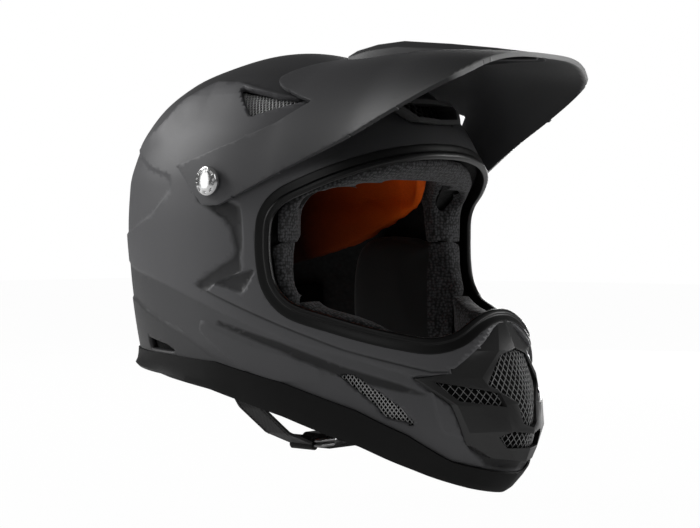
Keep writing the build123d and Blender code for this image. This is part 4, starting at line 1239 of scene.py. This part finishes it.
def lining_form():
    """The crown lining's sheet, laid on the foam by looking out from inside the head."""
    tree = tree_of(NODES["eps_crown_liner"].data)
    centre = Vector((0, 0.01, 0.0))
    least, usual, most = LINING_REACH
    turns = np.linspace(0, 2 * math.pi, LINING_RAYS[0], endpoint=False)
    lifts = np.radians(np.linspace(*LINING_LIFTS, LINING_RAYS[1]))
    reach = np.empty((len(lifts), len(turns)))
    for i, lift in enumerate(lifts):
        for j, turn in enumerate(turns):
            level = math.cos(lift)
            ray = Vector((math.sin(turn) * level, math.cos(turn) * level, math.sin(lift)))
            hit = tree.ray_cast(centre, ray)[3]
            reach[i, j] = hit / MM if hit else usual
    reach = np.clip(reach, least, most)
    for _ in range(2):
        reach = np.minimum.reduce([reach, np.roll(reach, 1, 1), np.roll(reach, -1, 1)])
    for _ in range(12):
        reach = evened(reach, 1, axis=1)
        reach[1:-1] = 0.5 * reach[1:-1] + 0.25 * (reach[:-2] + reach[2:])
    points = []
    for lift, row in zip(lifts, reach - LINING_GAP):
        x, y = np.sin(turns) * np.cos(lift) * row, 10 + np.cos(turns) * np.cos(lift) * row
        points.append(np.stack([x, y, np.sin(lift) * row], -1))
    bm = grid_surface(points, True)
    bm.faces.new(bm.verts[-len(turns):])
    cut_away(bm, side_view(LINING_OUTLINE), keep_outside=False)
    mesh = to_mesh(bm, "lining_sheet", 180.0)
    return applied(mesh, [wall(LINING_WALL)])


def swollen(mesh, cap):
    """A pad's form blown up like padding under cloth, only on the sides that face the head."""
    normals = points_of(mesh, "normal")
    start = points_of(mesh) - normals * PAD_SHRINK * MM
    move_points(mesh, start)
    facing = (normals * unit(np.array(HEAD_MIDDLE) - start)).sum(1)
    free = np.clip(facing * 2.0 + 0.3, 0.06, 1)
    holder = placed("padding", mesh)
    cloth = holder.modifiers.new("cloth", "CLOTH")
    cloth.settings.use_pressure = True
    cloth.settings.uniform_pressure_force = PAD_PRESSURE
    cloth.settings.effector_weights.gravity = 0.0
    for step in range(1, PAD_STEPS + 1):
        bpy.context.scene.frame_set(step)
    end = points_of(evaluated(holder).to_mesh())
    bpy.data.objects.remove(holder)
    bpy.context.scene.frame_set(1)
    shift = end - start
    far = np.linalg.norm(shift, axis=1, keepdims=True)
    limit = cap * MM * free[:, None]
    shift *= np.minimum(1, limit / np.maximum(far, 1e-9))
    move_points(mesh, start + shift)
    return mesh


class HELMET_OT_pads(bpy.types.Operator):
    """Builds the padded lining: crown, brow, cheeks, chin bar and neck roll"""

    bl_idname = "helmet.make_pads"
    bl_label = "Pads"

    def execute(self, context):
        orange = finish_lining("crown_lining", colours().lining, srgb(225, 92, 20))
        dotted = finish_dotted("pad_mesh_fabric", colours().pads, srgb(30))
        black = finish_lining("pad_black_fabric", srgb(22), srgb(12))
        # Node, name, size of the new faces, finish, fill, reshaping and where it is cut off
        plan = [
            ("crown_pad", "crown_lining_pad", 3.5, orange, 0.7, None, None),
            ("brow_pad", "brow_fabric_pad", 2.6, dotted, 0.6, brow_shape, None),
            ("neck_roll_pad", "neck_roll", 4.5, black, 0.8, None, None),
            ("cheek_pad_left", "cheek_cushion_left", 2.8, dotted, 0.8, cheek_shape, None),
            ("cheek_pad_right", "cheek_cushion_right", 2.8, dotted, 0.8, cheek_shape, None),
            ("chin_bar_pad_left", "chin_bar_cushion_left", 2.6, dotted, 0.7, None, 58),
            ("chin_bar_pad_right", "chin_bar_cushion_right", 2.6, dotted, 0.7, None, 58),
        ]
        for node, name, voxel, finish, fill, reshape, clip in plan:
            slot_name = "orange_lining" if finish == orange else "dark_lining"
            form = lining_form() if node == "crown_pad" else node_form(node, clip)
            mesh = swollen(closed_form(form, voxel, reshape), sizes().pad_swell / MM)
            mesh = applied(mesh, [
                ("SMOOTH", {"factor": 0.5, "iterations": 5}),
                ("SUBSURF", {"levels": 1, "render_levels": 1}),
            ])
            mesh.name = name
            p = points_of(mesh) / MM
            plain = np.clip((p[:, 1] - FABRIC_SEAM) / FABRIC_SEAM_WIDTH, 0, 1)
            paint(mesh, "plain", plain if "cheek" in name else np.zeros(len(p)))
            # Painted shade: its share grows towards the rear of the helmet, deeper inside.
            paint(mesh, "deep", ramp(p[:, 1], -26, 64))
            smooth(mesh, 180.0)
            obj = finished_object(name, mesh, "root", slot_name, finish)
            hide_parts(node)
        foam = finish_foam()
        dress(foam, "eps_crown_liner")
        obj = finished_object("chin_foam", self.chin_foam(), "root", "liner_foam", foam)
        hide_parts("eps_chin_liner")
        hidden = finish_plastic("moulded_plastic", srgb(22), 0.5)
        dress(hidden, "cheek_pad_backplate", "pad_socket", "visor_washer")
        return {"FINISHED"}

    def chin_foam(self):
        """The chin bar's foam, drawn in where the shell's chin is."""
        mesh = node_form("eps_chin_liner")
        p = points_of(mesh) / MM
        excess = np.maximum(spread(p) - CHIN_FOAM_SHARE, 0)[:, None]
        p -= outward(p) * excess * CHIN_FOAM_PULL
        move_points(mesh, p * MM)
        smooth(mesh, 40.0)
        return mesh


class HELMET_OT_straps(bpy.types.Operator):
    """Builds the chin strap and finishes its rings, anchors and rivets"""

    bl_idname = "helmet.make_straps"
    bl_label = "Strap"

    def execute(self, context):
        webbing = finish_webbing(srgb(13))
        for side in ("right", "left"):
            node = "chin_strap_" + side
            bm = welded(node, 1)
            uv = bm.loops.layers.uv.new("UVMap")
            for face in bm.faces:
                for loop in face.loops:
                    x, y, z = loop.vert.co / MM
                    loop[uv].uv = (abs(x) - z, y)
            mesh = to_mesh(bm, "strap_" + side, 30.0, 1.0)
            obj = finished_object("strap_" + side, mesh, "root", "strap_webbing", webbing)
            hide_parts(node)
            self.stitches(node, side)
        steel = finish_metal("ring_steel", srgb(150), 0.3)
        dress(steel, "d_ring", "strap_")
        return {"FINISHED"}

    def stitches(self, node, side):
        """Two rows of stitches on the outer face of a strap, laid by geometry nodes."""
        tree = tree_of(NODES[node].data)
        out = 1 if side == "left" else -1
        points, edges = [], []
        for y in STITCH_ROWS:
            row = []
            for z in np.arange(*STITCH_LEVELS):
                hit = tree.ray_cast(Vector((out * 0.15, y * MM, z * MM)), Vector((-out, 0, 0)))
                if hit[0]:
                    row.append(hit[0] + hit[1] * 0.0002)
            edges += [(len(points) + k, len(points) + k + 1) for k in range(len(row) - 1)]
            points += row
        if not edges:
            raise RuntimeError("no room for stitches on " + node)
        line = bpy.data.meshes.new("stitch_line")
        line.from_pydata(points, edges, [])
        holder = placed("stitch_line", line)
        thread = finish_rubber("strap_thread", srgb(62), 0.7)
        group, inputs = stitch_nodes(thread)
        modifier = holder.modifiers.new("stitches", "NODES")
        modifier.node_group = group
        modifier[inputs["Spacing"]] = sizes().stitch_spacing
        modifier[inputs["Length"]] = sizes().stitch_length
        bpy.context.view_layer.update()
        mesh = bpy.data.meshes.new_from_object(evaluated(holder))
        holder.modifiers.remove(modifier)
        bpy.data.objects.remove(holder)
        finished_object("strap_stitches_" + side, mesh, "root", "strap_webbing")


def stitch_nodes(thread):
    """Geometry nodes that lay short threads evenly along a line, and their inputs' identifiers."""
    tree = bpy.data.node_groups.new("stitch_line", "GeometryNodeTree")
    tree.interface.new_socket("Geometry", in_out="INPUT", socket_type="NodeSocketGeometry")
    inputs = {}
    for name, value in (("Spacing", 0.0034), ("Length", 0.0023), ("Thickness", 0.00035)):
        socket = tree.interface.new_socket(name, in_out="INPUT", socket_type="NodeSocketFloat")
        socket.default_value = value
        inputs[name] = socket.identifier
    tree.interface.new_socket("Geometry", in_out="OUTPUT", socket_type="NodeSocketGeometry")
    kinds = (
        "NodeGroupInput", "GeometryNodeMeshToCurve", "GeometryNodeResampleCurve",
        "GeometryNodeCurveToPoints", "FunctionNodeAlignRotationToVector",
        "GeometryNodeMeshCylinder", "GeometryNodeInstanceOnPoints", "GeometryNodeRealizeInstances",
        "GeometryNodeSetMaterial", "NodeGroupOutput",
    )
    nodes = [tree.nodes.new(kind) for kind in kinds]
    start, curve, even, spots, turn, stitch, laid, real, dyed, end = nodes
    even.mode, spots.mode, turn.axis = "LENGTH", "EVALUATED", "Z"
    stitch.inputs["Vertices"].default_value = 6
    dyed.inputs["Material"].default_value = thread
    links = (
        (start, "Geometry", curve, "Mesh"), (curve, "Curve", even, "Curve"),
        (start, "Spacing", even, "Length"), (even, "Curve", spots, "Curve"),
        (spots, "Tangent", turn, "Vector"), (start, "Thickness", stitch, "Radius"),
        (start, "Length", stitch, "Depth"), (spots, "Points", laid, "Points"),
        (stitch, "Mesh", laid, "Instance"), (turn, "Rotation", laid, "Rotation"),
        (laid, "Instances", real, "Geometry"), (real, "Geometry", dyed, "Geometry"),
        (dyed, "Geometry", end, "Geometry"),
    )
    for one, output, other, slot in links:
        tree.links.new(one.outputs[output], other.inputs[slot])
    return tree, inputs


def turned(profile, count=48):
    """A closed turned form about the X axis from (along, radius) points."""
    turns = np.linspace(0, 2 * math.pi, count, endpoint=False)
    rows = [np.stack([np.full(count, a), r * np.cos(turns), r * np.sin(turns)], -1)
            for a, r in profile]
    bm = grid_surface(rows, True)
    bm.faces.new(bm.verts[:count])
    bm.faces.new(bm.verts[-count:])
    return bm


class HELMET_OT_screws(bpy.types.Operator):
    """Builds the visor screws' heads and finishes their nuts"""

    bl_idname = "helmet.make_screws"
    bl_label = "Screws"

    def execute(self, context):
        chrome = finish_metal("screw_chrome", srgb(225), 0.16)
        brass = finish_metal("insert_brass", srgb(190, 150, 80), 0.35)
        profile = [(-18.0, 2.6), (-17.6, 3.0), (0.0, 3.0), (0.0, 9.6), (0.4, 10.0),
                   (2.2, 10.0), (3.0, 9.5), (3.5, 8.6), (3.6, 8.3), (3.7, 7.0),
                   (3.8, 6.7), (4.1, 4.0), (4.2, 0.8)]
        for side, name in ((-1, "right"), (1, "left")):
            head = turned(profile)
            head.verts.ensure_lookup_table()
            for i, vert in enumerate(head.verts):
                x, y, z = vert.co
                if x > 3.55 and 6.9 < math.hypot(y, z) < 8.4 and i % 6 < 2:
                    x -= 1.2
                vert.co = (side * (SCREW_PLACE[0] + x), y + SCREW_PLACE[1], z + SCREW_PLACE[2])
            mesh = applied(to_mesh(head, "screw", 30.0), [bevel(0.25, 2)])
            smooth(mesh, 35.0)
            body = name + "_screw"
            obj = finished_object("screw_head_" + name, mesh, body, "screw_chrome", chrome)
            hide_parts("visor_screw_" + name)
        dress(brass, "visor_insert")
        return {"FINISHED"}


def aim(obj, at):
    """Turns a lamp or a camera towards a point."""
    obj.rotation_euler = (Vector(at) - obj.location).to_track_quat("-Z", "Y").to_euler()


def soft_lamp(name, place, size, power):
    data = bpy.data.lights.new(name, "AREA")
    data.shape, data.size, data.size_y, data.energy = "RECTANGLE", size[0], size[1], power
    lamp = placed(name, data)
    lamp.location = place
    aim(lamp, LAMP_AIM)


class HELMET_OT_stage(bpy.types.Operator):
    """Builds the pale floor, the soft light and the camera"""

    bl_idname = "helmet.make_stage"
    bl_label = "Stage"

    def execute(self, context):
        mesh = bpy.data.meshes.new("floor")
        size, level = 6.0, CAD_BOX[0][2] - 0.03
        corners = [(x * size, y * size, level) for x, y in ((-1, -1), (1, -1), (1, 1), (-1, 1))]
        mesh.from_pydata(corners, [], [(0, 1, 2, 3)])
        floor = placed("floor", mesh)
        mesh.materials.append(self.white_floor())
        self.white_world()
        for lamp in LAMPS:
            soft_lamp(*lamp)
        self.camera()
        return {"FINISHED"}

    def mix(self, tree, factor, low, high, out):
        """Feeds an output with two shaders, mixed by a factor."""
        node = tree.nodes.new("ShaderNodeMixShader")
        for socket, slot in zip((factor, low, high), node.inputs):
            tree.links.new(socket, slot)
        tree.links.new(node.outputs[0], out.inputs[0])

    def white_floor(self):
        """A floor that takes light, but looks white to the camera."""
        f = Finish("white_floor", roughness=0.9, specular=0.0)
        f.feed("Base Color", (0.9, 0.9, 0.9, 1))
        seen = f.node("ShaderNodeLightPath", "Is Camera Ray") * 0.98
        glow = f.tree.nodes.new("ShaderNodeEmission")
        out = next(n for n in f.tree.nodes if n.type == "OUTPUT_MATERIAL")
        self.mix(f.tree, seen.socket, f.shader.outputs[0], glow.outputs[0], out)
        return f.material

    def white_world(self):
        """A white sky to the camera that lights the helmet only faintly."""
        world = bpy.data.worlds.new("studio")
        bpy.context.scene.world = world
        world.use_nodes = True
        tree = world.node_tree
        tree.nodes.clear()
        kinds = ("LightPath", "Background", "Background", "OutputWorld")
        path, seen, soft, out = [tree.nodes.new("ShaderNode" + kind) for kind in kinds]
        soft.inputs["Strength"].default_value = 0.09
        soft.inputs["Color"].default_value = seen.inputs["Color"].default_value = (1, 1, 1, 1)
        seen_by_camera = path.outputs["Is Camera Ray"]
        self.mix(tree, seen_by_camera, soft.outputs[0], seen.outputs[0], out)

    def camera(self):
        data = bpy.data.cameras.new("camera")
        data.lens, data.sensor_width = CAMERA_LENS, 36.0
        data.shift_x, data.shift_y = CAMERA_SHIFT
        camera = placed("camera", data)
        turn = math.radians(CAMERA_TURN)
        camera.location = Vector((math.sin(turn), -math.cos(turn), 0)) * CAMERA_FAR
        aim(camera, (0, 0, 0))
        bpy.context.scene.camera = camera


class HELMET_PT_panel(bpy.types.Panel):
    """Lists the helmet's pieces"""

    bl_label = "Helmet"
    bl_idname = "HELMET_PT_panel"
    bl_space_type = "VIEW_3D"
    bl_region_type = "UI"
    bl_category = "Helmet"

    def draw(self, context):
        for group in (context.scene.helmet_sizes, context.scene.helmet_colours):
            for name in group.bl_rna.properties.keys():
                if name not in ("rna_type", "name"):
                    self.layout.prop(group, name)
        for operator in OPERATORS:
            self.layout.operator(operator.bl_idname)


OPERATORS = (
    HELMET_OT_stage, HELMET_OT_shell, HELMET_OT_visor, HELMET_OT_edgings, HELMET_OT_vents,
    HELMET_OT_pads, HELMET_OT_straps, HELMET_OT_screws,
)
CLASSES = (HelmetSizes, HelmetColours) + OPERATORS + (HELMET_PT_panel,)


def register():
    for cls in CLASSES:
        bpy.utils.register_class(cls)
    bpy.types.Scene.helmet_sizes = bpy.props.PointerProperty(type=HelmetSizes)
    bpy.types.Scene.helmet_colours = bpy.props.PointerProperty(type=HelmetColours)


def unregister():
    del bpy.types.Scene.helmet_colours
    del bpy.types.Scene.helmet_sizes
    for cls in reversed(CLASSES):
        bpy.utils.unregister_class(cls)


def main():
    register()
    bpy.context.scene.view_settings.view_transform = "Standard"
    bpy.ops.helmet.make_stage()
    bpy.ops.helmet.make_shell()
    bpy.ops.helmet.make_visor()
    bpy.ops.helmet.make_edgings()
    bpy.ops.helmet.make_vents()
    bpy.ops.helmet.make_pads()
    bpy.ops.helmet.make_straps()
    bpy.ops.helmet.make_screws()


if __name__ == "__main__":
    main()
